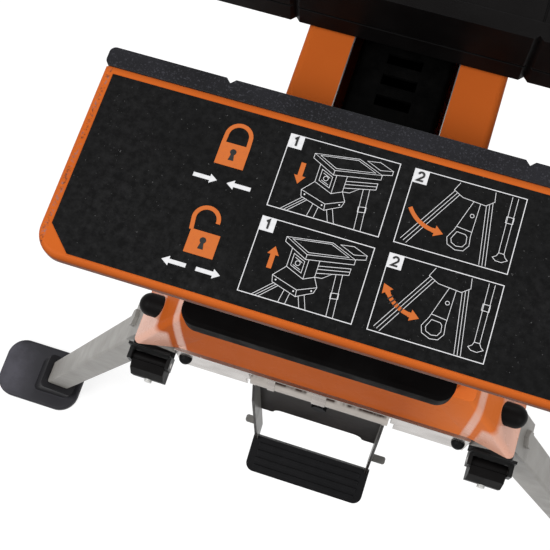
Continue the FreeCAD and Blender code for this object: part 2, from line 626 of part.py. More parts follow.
def beam():
    wall = PLATE
    channel = box(-HALF_BEAM, HALF_BEAM, BEAM_FRONT, BEAM_BACK, BEAM_BOTTOM, BEAM_TOP)
    channel = rounded(channel, Y_AXIS, BEAM_CORNER)
    inside = rounded(
        box(-HALF_BEAM + wall, HALF_BEAM - wall, BEAM_FRONT - OVER, BEAM_BACK + OVER,
            BEAM_BOTTOM + wall, BEAM_TOP - wall), Y_AXIS, BEAM_CORNER - wall)
    slot = box(-BEAM_SLOT, BEAM_SLOT, BEAM_FRONT - OVER, BEAM_BACK + OVER,
               BEAM_TOP - 2 * wall, BEAM_TOP + OVER)
    pin = rod_x(-HALF_BEAM - wall, HALF_BEAM + wall, BELL_Y, BELL_Z, BELL_PIN)
    nodes["beam"] = channel.cut(inside).cut(slot).cut(pin)

    cap = rounded(box(-HALF_BEAM, HALF_BEAM, BEAM_BACK, BEAM_BACK + CAP_THICK, BEAM_BOTTOM, BEAM_TOP),
                  Y_AXIS, BEAM_CORNER)
    rim = max(cap.Faces, key=lambda face: face.CenterOfMass.y)
    nodes["beam_end_cap"] = cap.makeChamfer(BAR_CORNER, rim.Edges)

    room = box(-BAR_HALF - GAP, BAR_HALF + GAP, BEAM_FRONT, BEAM_BACK, BAR_BOTTOM - GAP, BEAM_TOP)
    guides = []
    for start in (0.0, BAR_BACK - GUIDE_FROM_END):
        liner = rounded(
            box(-HALF_BEAM + wall, HALF_BEAM - wall, start, start + GUIDE_LENGTH,
                BEAM_BOTTOM + wall, BAR_TOP + wall), Y_AXIS, BEAM_CORNER - wall, lambda c: c.z < BAR_BOTTOM)
        guides.append(liner.cut(room))
    nodes["beam_guides"] = Part.makeCompound(guides)


def draw_bar():
    wall = PLATE
    bar = rounded(box(-BAR_HALF, BAR_HALF, BAR_FRONT, BAR_BACK, BAR_BOTTOM, BAR_TOP), Y_AXIS, BAR_CORNER)
    bar = bar.cut(box(-BAR_HALF + wall, BAR_HALF - wall, BAR_FRONT - OVER, BAR_BACK + OVER,
                      BAR_BOTTOM + wall, BAR_TOP - wall))
    count = int((BAR_BACK - RACK_END - RACK_START) / RACK_PITCH)
    slots = []
    for i in range(count):
        y = RACK_START + i * RACK_PITCH
        slots.append(box(-RACK_HALF, RACK_HALF, y, y + RACK_SLOT, BAR_TOP - 2 * wall, BAR_TOP + OVER))
    nodes["draw_bar"] = bar.cut(Part.makeCompound(slots))

    half_swing = math.radians(PEDAL_SWING / 2)
    pin_y = BELL_Y - CRANK * math.sin(half_swing)
    pin_high = BELL_Z - CRANK * math.cos(half_swing)
    pin_low = BELL_Z - CRANK
    x0 = CRANK_HALF + GAP
    lug = box(x0, x0 + LINK_THICK, pin_y - LUG_EYE, BAR_FRONT + WEB_BACK,
              pin_low - LUG_EYE, pin_high + LUG_EYE)
    lug = lug.cut(slot_x(pin_y, pin_y, pin_low, pin_high, CRANK_PIN + GAP, 0, PIN_REACH))
    web = box(-BAR_HALF + wall, BAR_HALF - wall, BAR_FRONT + WEB_FRONT, BAR_FRONT + WEB_BACK,
              BAR_BOTTOM + wall, BAR_TOP - wall)
    nodes["draw_bar_lug"] = lug.fuse(web).removeSplitter()
    nodes["draw_bar_plug"] = box(-BAR_HALF + wall, BAR_HALF - wall, BAR_BACK - BAR_PLUG, BAR_BACK,
                                 BAR_BOTTOM + wall, BAR_TOP - wall)


SPRING_RADIUS = 9.0
SPRING_WIRE = 1.25
SPRING_PITCH = 5.0
SPRING_SEAT = 0.3


def turn_gap():
    # least distance between the wire's surfaces at one point and half a turn to one and a half turns on
    first = Vec(SPRING_RADIUS, 0, 0)
    distances = []
    for degrees in range(180, 541, 10):
        angle = math.radians(degrees)
        point = Vec(SPRING_RADIUS * math.cos(angle), SPRING_RADIUS * math.sin(angle),
                    SPRING_PITCH * degrees / 360)
        distances.append((point - first).Length)
    return min(distances) - 2 * SPRING_WIRE


def return_spring():
    # an extension spring from the draw bar's end to the end cap, pulling the jaw open
    length = BEAM_BACK - BAR_BACK - 2 * SPRING_WIRE - 2 * SPRING_SEAT
    height = (BAR_TOP + BAR_BOTTOM) / 2
    helix = Part.makeHelix(SPRING_PITCH, length, SPRING_RADIUS)
    ring = Part.makeCircle(SPRING_WIRE, Vec(SPRING_RADIUS, 0, 0), Y_AXIS)
    coil = Part.Wire(helix.Edges).makePipeShell([Part.Wire([ring])], True, True)
    coil.rotate(Vec(0, 0, 0), X_AXIS, -90)
    coil.translate(Vec(0, BAR_BACK + SPRING_WIRE + SPRING_SEAT, height))
    nodes["return_spring"] = coil
    print("least gap between the spring's turns", round(turn_gap(), 2))


# Sliding jaw
HEAD_DEPTH = 82.0
HEAD_CORNER = 10.0
HEAD_WALL = 6.0
HEAD_ROOF = 8.0
SPINE_EXTRA = 4.0
TAIL_BACK = 212.0
TAIL_HALF = HALF_BEAM + 5.0
TAIL_TOP = BEAM_TOP + 19.0
PAD_GAP = 0.3
SLIDE_PAD = 3.0
PAD_INSET = 2.0
CHEEK_FRONT = 72.0
CHEEK_BOTTOM = BEAM_TOP - 55.0
CHEEK_CORNER = 12.0
CHEEK_PLAY = 0.6
CHEEK_BOLTS = (100.0, 140.0, 180.0)
KEEPER_HALF = HALF_BEAM - 10.0
KEEPER_FRONT = CHEEK_FRONT + 8.0
KEEPER_BACK = 150.0
KEEPER_LIFT = 4.0
RIB_COUNT = 8
RIB_HALF = 2.5
RIB_INSET = 3.0
RIB_RUN = 75.0
GROOVE_HALF = 1.0
GROOVE_DEPTH = 1.5

# Release lever over the rack of the draw bar
RELEASE_HALF = 14.0
RELEASE_Y = 190.0
RELEASE_Z = BEAM_TOP + 31.0
RELEASE_PIN = 3.0
RELEASE_HUB = 9.0
RELEASE_SIDE = 1.0
RELEASE_EAR = 6.0
EAR_HALF = 12.0
LEVER_ROOM = 30.0
GRIP_LENGTH = 58.0
GRIP_BELOW = 2.0
GRIP_ABOVE = 8.0
GRIP_CORNER = 3.0
RELEASE_NOSE = 14.0
RELEASE_TIP = 8.0
RELEASE_ROOT = 5.0


def sliding_jaw():
    face = JAW_OPEN
    back = face + FACE_THICK
    head_back = face + HEAD_DEPTH
    tail_back = face + TAIL_BACK
    floor = BEAM_TOP + PAD_GAP + SLIDE_PAD
    nodes["sliding_jaw_face"] = jaw_face(face, 1, SLIDE_NOTCH)

    head = box(-HALF_JAW, HALF_JAW, back, head_back, FACE_BOTTOM, PANEL_TOP)
    head = rounded(head, Z_AXIS, HEAD_CORNER, lambda c: c.y > back + OVER)
    hollow = box(-HALF_JAW + HEAD_WALL, HALF_JAW - HEAD_WALL, back + HEAD_WALL, head_back - HEAD_WALL,
                 FACE_BOTTOM - OVER, PANEL_TOP - HEAD_ROOF)
    spine_half = TAIL_HALF + SPINE_EXTRA
    spine = box(-spine_half, spine_half, back, head_back, FACE_BOTTOM, PANEL_TOP - HEAD_ROOF / 2)
    tail = plate_x([(face + CHEEK_FRONT, floor), (tail_back, floor), (tail_back, TAIL_TOP),
                    (head_back - SPINE_EXTRA, TAIL_TOP), (face + CHEEK_FRONT, FACE_BOTTOM + SPINE_EXTRA)],
                   -TAIL_HALF, TAIL_HALF)
    body = head.cut(hollow).fuse(spine).fuse(tail)
    pitch = 2 * (TAIL_HALF - RIB_INSET) / (RIB_COUNT - 1)
    rib_front = head_back - PAD_INSET
    for i in range(RIB_COUNT):
        x = -TAIL_HALF + RIB_INSET + i * pitch
        rib = plate_x([(rib_front, PANEL_TOP - RIB_INSET), (rib_front, TAIL_TOP - OVER),
                       (head_back + RIB_RUN, TAIL_TOP - OVER)], x - RIB_HALF, x + RIB_HALF)
        body = body.fuse(rib)
    for x in (-SLIDE_NOTCH, SLIDE_NOTCH):
        body = body.cut(box(x - GROOVE_HALF, x + GROOVE_HALF, back - OVER, head_back + OVER,
                            PANEL_TOP - GROOVE_DEPTH, PANEL_TOP + OVER))
    pivot_y = face + RELEASE_Y
    inner = RELEASE_HALF + RELEASE_SIDE
    outer = inner + RELEASE_EAR
    body = body.cut(box(-inner, inner, pivot_y - LEVER_ROOM, tail_back + OVER, floor - OVER, PANEL_TOP))
    ear = box(inner, outer, pivot_y - EAR_HALF, pivot_y + EAR_HALF, TAIL_TOP - OVER, RELEASE_Z + RELEASE_HUB)
    pin = rod_x(-outer, outer, pivot_y, RELEASE_Z, RELEASE_PIN)
    nodes["sliding_jaw_body"] = body.fuse(ear).fuse(mirrored(ear)).cut(pin).removeSplitter()
    nodes["release_pin"] = pin

    bolts = []
    for y in CHEEK_BOLTS:
        bolt = hex_bolt(BOLT_RADIUS, TAIL_HALF - HALF_BEAM - CHEEK_PLAY, BOLT_HEAD, BOLT_HEAD_HEIGHT)
        bolts.append(placed(bolt, Vec(TAIL_HALF, face + y, (CHEEK_BOTTOM + floor) / 2), Y_AXIS, 90))
    bolts = Part.makeCompound(bolts)
    cheek = box(HALF_BEAM + CHEEK_PLAY, TAIL_HALF, face + CHEEK_FRONT, tail_back, CHEEK_BOTTOM, floor)
    cheek = rounded(cheek, X_AXIS, CHEEK_CORNER, lambda c: c.z < CHEEK_BOTTOM + OVER)
    nodes["sliding_jaw_cheeks"] = both_sides(cheek.cut(bolts))
    nodes["sliding_jaw_bolts"] = both_sides(bolts)
    pad = box(BEAM_SLOT + PAD_INSET, HALF_BEAM - BEAM_CORNER, face + CHEEK_FRONT, tail_back,
              BEAM_TOP + PAD_GAP, floor)
    nodes["slide_pads"] = both_sides(pad)

    neck_half = BEAM_SLOT - GROOVE_HALF
    keeper = box(-KEEPER_HALF, KEEPER_HALF, face + KEEPER_FRONT, face + KEEPER_BACK,
                 BAR_TOP + KEEPER_LIFT, BEAM_TOP - PLATE - GAP)
    neck = box(-neck_half, neck_half, face + KEEPER_FRONT, face + KEEPER_BACK, BAR_TOP + KEEPER_LIFT, floor)
    nodes["slide_keeper"] = keeper.fuse(neck).removeSplitter()


def release_lever():
    y = JAW_OPEN + RELEASE_Y
    tip_z = BAR_TOP + NOSE_GAP
    nose_half = RACK_HALF - PAD_INSET
    hub = rod_x(-RELEASE_HALF, RELEASE_HALF, y, RELEASE_Z, RELEASE_HUB)
    grip = box(-RELEASE_HALF, RELEASE_HALF, y, y + GRIP_LENGTH,
               RELEASE_Z - GRIP_BELOW, RELEASE_Z + GRIP_ABOVE)
    grip = rounded(grip, X_AXIS, GRIP_CORNER)
    nose = plate_x([(y - RELEASE_ROOT, RELEASE_Z), (y - RELEASE_NOSE, tip_z), (y - RELEASE_TIP, tip_z),
                    (y + RELEASE_ROOT, RELEASE_Z)], -nose_half, nose_half)
    bore = rod_x(-RELEASE_HALF - OVER, RELEASE_HALF + OVER, y, RELEASE_Z, RELEASE_PIN + RUN)
    nodes["release_lever"] = hub.fuse(grip).fuse(nose).cut(bore).removeSplitter()


# Gusset plates between the column and the beam
GUSSET_X = HALF_BEAM - 8.0
GUSSET_THICK = 5.0
GUSSET_REACH = 150.0
GUSSET_EDGE = 24.0
GUSSET_GAP = 3.0


def gussets():
    front = COLUMN_BACK
    back = front + GUSSET_REACH
    bottom = APRON_TOP + GUSSET_GAP
    outline = [(front, BEAM_BOTTOM), (front, bottom), (front + GUSSET_EDGE, bottom),
               (back, BEAM_BOTTOM - GUSSET_EDGE), (back, BEAM_BOTTOM)]
    plate = plate_x(outline, GUSSET_X - GUSSET_THICK, GUSSET_X)
    inset = 2 * BOLT_HEAD
    spots = [(front + inset, bottom + inset), (front + inset, BEAM_BOTTOM - inset),
             (back - inset, BEAM_BOTTOM - inset)]
    bolts = []
    for y, z in spots:
        bolt = hex_bolt(BOLT_RADIUS, GUSSET_THICK, BOLT_HEAD, BOLT_HEAD_HEIGHT)
        bolts.append(placed(bolt, Vec(GUSSET_X, y, z), Y_AXIS, 90))
    bolts = Part.makeCompound(bolts)
    nodes["gusset_plates"] = both_sides(plate.cut(bolts))
    nodes["gusset_bolts"] = both_sides(bolts)


# Front legs
LEG_HALF = 15.0
LEG_WALL = 2.0
LEG_CORNER = 3.0
LEG_X = APRON_HALF - 7.0
LEG_Y = APRON_FRONT + 19.0
LEG_Z = APRON_BOTTOM - 34.0
LEG_HEAD = 18.0
LEG_BOLT = 6.0
LEG_BOLT_HEAD = 8.5
LEG_BOLT_HEIGHT = 4.0
CHEEK_GAP = 0.4
FOOT_LENGTH = 118.0
FOOT_WIDTH = 82.0
FOOT_THICK = 9.0
FOOT_CORNER = 26.0
FOOT_OFFSET = 17.0
FOOT_EDGE = 3.0
SOCKET_WALL = 8.0
SOCKET_HEIGHT = 52.0
SOCKET_BELOW = 40.0
SOCKET_CORNER = 6.0
LEG_END = 8.0

# Bracket over the head of each leg
SADDLE_HALF = 18.0
SADDLE_DOWN = 16.0
SADDLE_ROOF = 24.5
SADDLE_FRONT = 27.0
TAB_LOW = 8.0
TAB_HIGH = 13.0

# Latch in front of each leg
LATCH_HALF = 15.5
LATCH_X = LEG_X - 7.0
STRAP_BACK = LEG_Y - 24.3
STRAP_HALF = LATCH_HALF + 4.0
STRAP_TOP = LEG_Z + 26.0
LATCH_PIN_Y = STRAP_BACK - 7.7
LATCH_PIN_Z = LEG_Z + 7.0
LATCH_PIN = 2.5
LATCH_HUB = 4.6
LATCH_SIDE = 0.5
LATCH_BACK = LATCH_PIN_Y + 3.5
LATCH_FRONT = LATCH_PIN_Y - 15.0
LATCH_BOTTOM = LATCH_PIN_Z - 25.0
LATCH_SHOULDER = 4.0
LATCH_SLOPE = 12.0
LATCH_EAR_HALF = 8.0
LATCH_EAR_FRONT = 5.0
LATCH_GROOVE = 1.2
STUD_RADIUS = 3.5
STUD_LENGTH = 12.0
STUD_OUT = 2.0


def leg_place(shape):
    # from the upright drawing about the pivot to the right-hand leg's place
    leaned = placed(shape, Vec(0, 0, 0), X_AXIS, -LEG_LEAN)
    return placed(leaned, Vec(LEG_X, LEG_Y, LEG_Z), Y_AXIS, -LEG_SPLAY)


def foot_sole(x0, x1, y0, y1, corner):
    sole = rounded(box(x0, x1, y0, y1, 0, FOOT_THICK), Z_AXIS, corner)
    top = max(sole.Faces, key=lambda face: face.CenterOfMass.z)
    return sole.makeFillet(FOOT_EDGE, top.Edges)


def above_floor(shape):
    bounds = shape.BoundBox
    return shape.common(box(bounds.XMin - OVER, bounds.XMax + OVER, bounds.YMin - OVER, bounds.YMax + OVER,
                            0, bounds.ZMax + OVER))


def front_legs():
    splay = math.radians(LEG_SPLAY)
    lean = math.radians(LEG_LEAN)
    length = (LEG_Z - LEG_END) / math.cos(splay) / math.cos(lean)
    bolt_line = rod_x(-2 * LEG_HALF, 2 * LEG_HALF, 0, 0, LEG_BOLT + RUN)
    tube = square_tube(LEG_HALF, LEG_WALL, -length, LEG_HEAD, LEG_CORNER)
    right_tube = leg_place(tube.cut(bolt_line))
    nodes["leg_tube_right"] = right_tube
    nodes["leg_tube_left"] = mirrored(right_tube)

    foot_x = LEG_X + LEG_Z * math.tan(splay) + FOOT_OFFSET
    foot_y = LEG_Y - LEG_Z * math.tan(lean) / math.cos(splay)
    sole = foot_sole(foot_x - FOOT_LENGTH / 2, foot_x + FOOT_LENGTH / 2,
                     foot_y - FOOT_WIDTH / 2, foot_y + FOOT_WIDTH / 2, FOOT_CORNER)
    reach = LEG_HALF + SOCKET_WALL
    socket = box(-reach, reach, -reach, reach, -length - SOCKET_BELOW, -length + SOCKET_HEIGHT)
    socket = above_floor(leg_place(rounded(socket, Z_AXIS, SOCKET_CORNER)))
    core = box(-LEG_HALF, LEG_HALF, -LEG_HALF, LEG_HALF, -length, LEG_HEAD)
    core = leg_place(rounded(core, Z_AXIS, LEG_CORNER))
    right_foot = sole.fuse(socket).cut(core).removeSplitter()
    nodes["leg_foot_right"] = right_foot
    nodes["leg_foot_left"] = mirrored(right_foot)


def pivot_bolt(outer):
    # a bolt along X through two cheeks, with a head at one end and a nut at the other
    bolt = placed(hex_bolt(LEG_BOLT, 2 * outer, LEG_BOLT_HEAD, LEG_BOLT_HEIGHT), Vec(outer, 0, 0), Y_AXIS, 90)
    nut = placed(hex_bolt(LEG_BOLT, OVER, LEG_BOLT_HEAD, LEG_BOLT_HEIGHT), Vec(-outer, 0, 0), Y_AXIS, -90)
    return bolt.fuse(nut).removeSplitter()


def leg_brackets():
    inner = LEG_HALF + CHEEK_GAP
    outer = inner + THICK_PLATE
    wide = SADDLE_HALF
    cheek = box(inner, outer, -wide, wide, -SADDLE_DOWN, SADDLE_ROOF)
    bridge = box(-outer, outer, -SADDLE_FRONT, wide, SADDLE_ROOF, SADDLE_ROOF + PLATE)
    bolt = pivot_bolt(outer)
    saddle = leg_place(cheek.fuse(mirrored(cheek)).fuse(bridge).cut(bolt))
    tab = box(FRAME_HALF, LEG_X, LEG_Y - wide, LEG_Y + wide, LEG_Z + TAB_LOW, LEG_Z + TAB_HIGH)
    room = box(-inner, 3 * wide, -3 * wide, 3 * wide, -3 * wide, 3 * wide)
    strap = box(LATCH_X - STRAP_HALF, LATCH_X + STRAP_HALF, STRAP_BACK - SHEET, STRAP_BACK,
                LATCH_PIN_Z - LATCH_EAR_HALF, STRAP_TOP)
    bracket = saddle.fuse(tab.cut(leg_place(room))).fuse(strap)
    ear_inner = LATCH_HALF + LATCH_SIDE
    for x0, x1 in ((-STRAP_HALF, -ear_inner), (ear_inner, STRAP_HALF)):
        bracket = bracket.fuse(box(LATCH_X + x0, LATCH_X + x1, LATCH_PIN_Y - LATCH_EAR_FRONT, STRAP_BACK,
                                   LATCH_PIN_Z - LATCH_EAR_HALF, LATCH_PIN_Z + LATCH_EAR_HALF))
    pin = rod_x(LATCH_X - STRAP_HALF, LATCH_X + STRAP_HALF, LATCH_PIN_Y, LATCH_PIN_Z, LATCH_PIN)
    nodes["leg_brackets"] = both_sides(bracket.cut(pin).removeSplitter())
    nodes["leg_pivot_bolts"] = both_sides(leg_place(bolt))
    nodes["latch_pins"] = both_sides(pin)


def leg_latches():
    x0 = LATCH_X - LATCH_HALF
    x1 = LATCH_X + LATCH_HALF
    hub = rod_x(x0, x1, LATCH_PIN_Y, LATCH_PIN_Z, LATCH_HUB)
    outline = [(LATCH_BACK, LATCH_PIN_Z), (LATCH_PIN_Y - LATCH_SHOULDER, LATCH_PIN_Z + LATCH_SHOULDER),
               (LATCH_FRONT + LATCH_SHOULDER, LATCH_PIN_Z), (LATCH_FRONT, LATCH_PIN_Z - LATCH_SLOPE),
               (LATCH_FRONT + OVER, LATCH_BOTTOM), (LATCH_BACK, LATCH_BOTTOM)]
    block = plate_x(outline, x0, x1)
    groove_z = LATCH_PIN_Z - LATCH_SLOPE - LATCH_SHOULDER
    groove = box(x0 - OVER, x1 + OVER, LATCH_FRONT - OVER, LATCH_FRONT + LATCH_GROOVE,
                 groove_z - LATCH_GROOVE, groove_z)
    bore = rod_x(x0 - OVER, x1 + OVER, LATCH_PIN_Y, LATCH_PIN_Z, LATCH_PIN + RUN)
    stud = rod_y(LATCH_X, LATCH_FRONT - STUD_OUT, LATCH_FRONT - STUD_OUT + STUD_LENGTH,
                 LATCH_BOTTOM + STUD_RADIUS + OVER, STUD_RADIUS)
    latch = hub.fuse(block).cut(groove).cut(bore).cut(stud).removeSplitter()
    nodes["leg_latch_right"] = latch
    nodes["leg_latch_left"] = mirrored(latch)
    nodes["latch_stud_right"] = stud
    nodes["latch_stud_left"] = mirrored(stud)


# Rear leg under the back of the beam
REAR_Y = BEAM_BACK - 90.0
REAR_Z = BEAM_BOTTOM - 35.0
REAR_HALF = 20.0
REAR_WALL = 2.5
REAR_CORNER = 4.0
REAR_HEAD = 18.0
REAR_TUBE = 400.0
INNER_HALF = 16.5
INNER_WALL = 2.0
INNER_CORNER = 3.0
INNER_TOP = 280.0
INNER_PLAY = 0.5
COLLAR_HEIGHT = 46.0
COLLAR_WALL = 6.0
COLLAR_LIP = 12.0
COLLAR_CORNER = 6.0
REAR_FOOT_X = 120.0
REAR_FOOT_Y = 76.0
KNOB_RADIUS = 17.0
KNOB_THICK = 16.0
KNOB_OUT = 2.0
KNOB_SCALLOPS = 6
SCALLOP_RADIUS = 7.0
SCREW_RADIUS = 5.0
COLLAR_TOP = COLLAR_HEIGHT - COLLAR_LIP - REAR_TUBE
SCREW_Z = COLLAR_TOP - COLLAR_HEIGHT / 2 + COLLAR_WALL
BRACKET_TOP = 30.0
BRACKET_BOTTOM = 18.0
BRACKET_DROP = 16.0
BRACKET_PLATE = 34.0
BRACKET_INSET = 10.0


def rear_place(shape):
    # from the upright drawing about the pivot to its place, the foot set back
    return placed(shape, Vec(0, REAR_Y, REAR_Z), X_AXIS, REAR_LEAN)


def rear_leg():
    reach = REAR_HALF + COLLAR_WALL
    bolt_line = rod_x(-reach, reach, 0, 0, LEG_BOLT + RUN)
    screw_line = rod_y(0, 0, 2 * reach, SCREW_Z, SCREW_RADIUS + RUN)
    tube = square_tube(REAR_HALF, REAR_WALL, -REAR_TUBE, REAR_HEAD, REAR_CORNER)
    nodes["rear_leg_tube"] = rear_place(tube.cut(bolt_line).cut(screw_line))

    collar = rounded(box(-reach, reach, -reach, reach, COLLAR_TOP - COLLAR_HEIGHT, COLLAR_TOP),
                     Z_AXIS, COLLAR_CORNER)
    tube_room = rounded(box(-REAR_HALF, REAR_HALF, -REAR_HALF, REAR_HALF, -REAR_TUBE, 0), Z_AXIS, REAR_CORNER)
    side = INNER_HALF + INNER_PLAY
    inner_room = box(-side, side, -side, side, -2 * REAR_TUBE, 0)
    nodes["rear_leg_collar"] = rear_place(collar.cut(tube_room).cut(inner_room).cut(screw_line))

    back = reach + KNOB_OUT + KNOB_THICK
    knob = rod_y(0, reach + KNOB_OUT, back, SCREW_Z, KNOB_RADIUS)
    knob = knob.fuse(rod_y(0, INNER_HALF + GAP, back, SCREW_Z, SCREW_RADIUS))
    orbit = KNOB_RADIUS + PLATE
    for i in range(KNOB_SCALLOPS):
        angle = 2 * math.pi * i / KNOB_SCALLOPS
        knob = knob.cut(rod_y(orbit * math.cos(angle), reach, back + OVER, SCREW_Z + orbit * math.sin(angle),
                              SCALLOP_RADIUS))
    nodes["collar_knob"] = rear_place(knob.removeSplitter())


def rear_extension():
    lean = math.radians(REAR_LEAN)
    length = (REAR_Z - LEG_END) / math.cos(lean)
    tube = square_tube(INNER_HALF, INNER_WALL, -length, -INNER_TOP, INNER_CORNER)
    nodes["rear_inner_tube"] = rear_place(tube)
    at_floor = REAR_Y + REAR_Z * math.tan(lean)
    half_x = REAR_FOOT_X / 2
    half_y = REAR_FOOT_Y / 2
    sole = foot_sole(-half_x, half_x, at_floor - half_y, at_floor + half_y, half_y - OVER)
    grip = INNER_HALF + SOCKET_WALL
    socket = box(-grip, grip, -grip, grip, -length - SOCKET_BELOW, -length + SOCKET_HEIGHT)
    socket = above_floor(rear_place(rounded(socket, Z_AXIS, SOCKET_CORNER)))
    core = box(-INNER_HALF, INNER_HALF, -INNER_HALF, INNER_HALF, -length, 0)
    core = rear_place(rounded(core, Z_AXIS, INNER_CORNER))
    nodes["rear_foot"] = sole.fuse(socket).cut(core).removeSplitter()


def rear_bracket():
    inner = REAR_HALF + CHEEK_GAP
    outer = inner + THICK_PLATE
    low = REAR_Z - BRACKET_DROP
    cheek = plate_x([(REAR_Y - BRACKET_TOP, BEAM_BOTTOM), (REAR_Y - BRACKET_BOTTOM, low),
                     (REAR_Y + BRACKET_BOTTOM, low), (REAR_Y + BRACKET_TOP, BEAM_BOTTOM)], inner, outer)
    side = HALF_BEAM - BRACKET_INSET
    top = box(-side, side, REAR_Y - BRACKET_PLATE, REAR_Y + BRACKET_PLATE, BEAM_BOTTOM - PLATE, BEAM_BOTTOM)
    bolt = placed(pivot_bolt(outer), Vec(0, REAR_Y, REAR_Z))
    nodes["rear_bracket"] = cheek.fuse(mirrored(cheek)).fuse(top).cut(bolt).removeSplitter()
    nodes["rear_pivot_bolt"] = bolt


for build in (fixed_jaw, column, front_cover, lock_lever, apron, lower_frame, pedal, pedal_crank, linkage,
              lock_inside, beam, draw_bar, return_spring, sliding_jaw, release_lever, gussets, front_legs,
              leg_brackets, leg_latches, rear_leg, rear_extension, rear_bracket):
    build()

# Centre the stand front to back, then write every node
bounds = FreeCAD.BoundBox()
for shape in nodes.values():
    bounds.add(shape.optimalBoundingBox(False, False))
SHIFT_Y = -(bounds.YMin + bounds.YMax) / 2
os.makedirs("parts", exist_ok=True)
for name, shape in nodes.items():
    shape.translate(Vec(0, SHIFT_Y, 0))
    shape.exportStep("parts/" + name + ".step")
print(len(nodes), "nodes, box", bounds.XLength, bounds.YLength, bounds.ZLength, "shift", SHIFT_Y)
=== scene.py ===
import bmesh
import bpy
import json
import math
from mathutils import Matrix, Vector


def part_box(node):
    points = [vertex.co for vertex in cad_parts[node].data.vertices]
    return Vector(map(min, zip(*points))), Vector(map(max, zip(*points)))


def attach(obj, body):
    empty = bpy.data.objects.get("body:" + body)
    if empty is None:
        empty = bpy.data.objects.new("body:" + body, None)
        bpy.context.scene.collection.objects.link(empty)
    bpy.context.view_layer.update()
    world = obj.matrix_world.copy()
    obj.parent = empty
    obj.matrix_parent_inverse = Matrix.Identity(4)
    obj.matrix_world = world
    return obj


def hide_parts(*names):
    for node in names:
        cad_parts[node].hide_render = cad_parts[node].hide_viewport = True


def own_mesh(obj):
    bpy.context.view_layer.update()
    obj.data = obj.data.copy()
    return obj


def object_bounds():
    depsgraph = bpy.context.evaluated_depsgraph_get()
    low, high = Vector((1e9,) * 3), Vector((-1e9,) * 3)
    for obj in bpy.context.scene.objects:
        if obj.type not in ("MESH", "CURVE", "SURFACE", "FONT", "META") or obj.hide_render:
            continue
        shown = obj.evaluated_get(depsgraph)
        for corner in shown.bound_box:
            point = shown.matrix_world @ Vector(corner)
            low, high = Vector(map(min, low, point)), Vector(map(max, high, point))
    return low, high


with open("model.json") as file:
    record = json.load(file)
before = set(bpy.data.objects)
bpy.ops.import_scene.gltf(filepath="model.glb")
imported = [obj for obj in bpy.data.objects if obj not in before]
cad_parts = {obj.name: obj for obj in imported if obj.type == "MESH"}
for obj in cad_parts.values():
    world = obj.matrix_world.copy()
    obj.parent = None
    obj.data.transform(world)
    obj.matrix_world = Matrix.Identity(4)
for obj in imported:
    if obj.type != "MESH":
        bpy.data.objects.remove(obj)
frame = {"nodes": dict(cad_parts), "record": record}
cad_low, cad_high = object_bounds()
nodes = frame["nodes"]

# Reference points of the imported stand, in metres
FACE_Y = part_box("fixed_jaw_face")[1].y
JAW_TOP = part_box("fixed_jaw_face")[1].z
LABEL_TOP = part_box("jaw_label")[1].z
PANEL_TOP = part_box("fixed_jaw_panel")[1].z
PANEL_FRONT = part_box("fixed_jaw_panel")[0].y
APRON_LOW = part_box("apron")[0].z
APRON_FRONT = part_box("apron")[0].y
HINGE = (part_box("pedal_shaft")[0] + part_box("pedal_shaft")[1]) / 2

# Where a finish changes on a piece, in metres
SLOT_HALF = 0.0361
SLOT_LOW = JAW_TOP - 0.0595
NICK_X = -0.1638
BEND_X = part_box("apron")[1].x - 0.040
HINGE_REACH = 0.0126
PEDAL_HALF = 0.0602
STRAP_Y = FACE_Y - 0.1085
SOCKET_FROM = cad_low.z + 0.0105
# where the foot's painted sheen starts and where it is full
FOOT_SHEEN_FROM = cad_high.x - 0.058
FOOT_SHEEN_FULL = cad_high.x - 0.022


# Node helpers

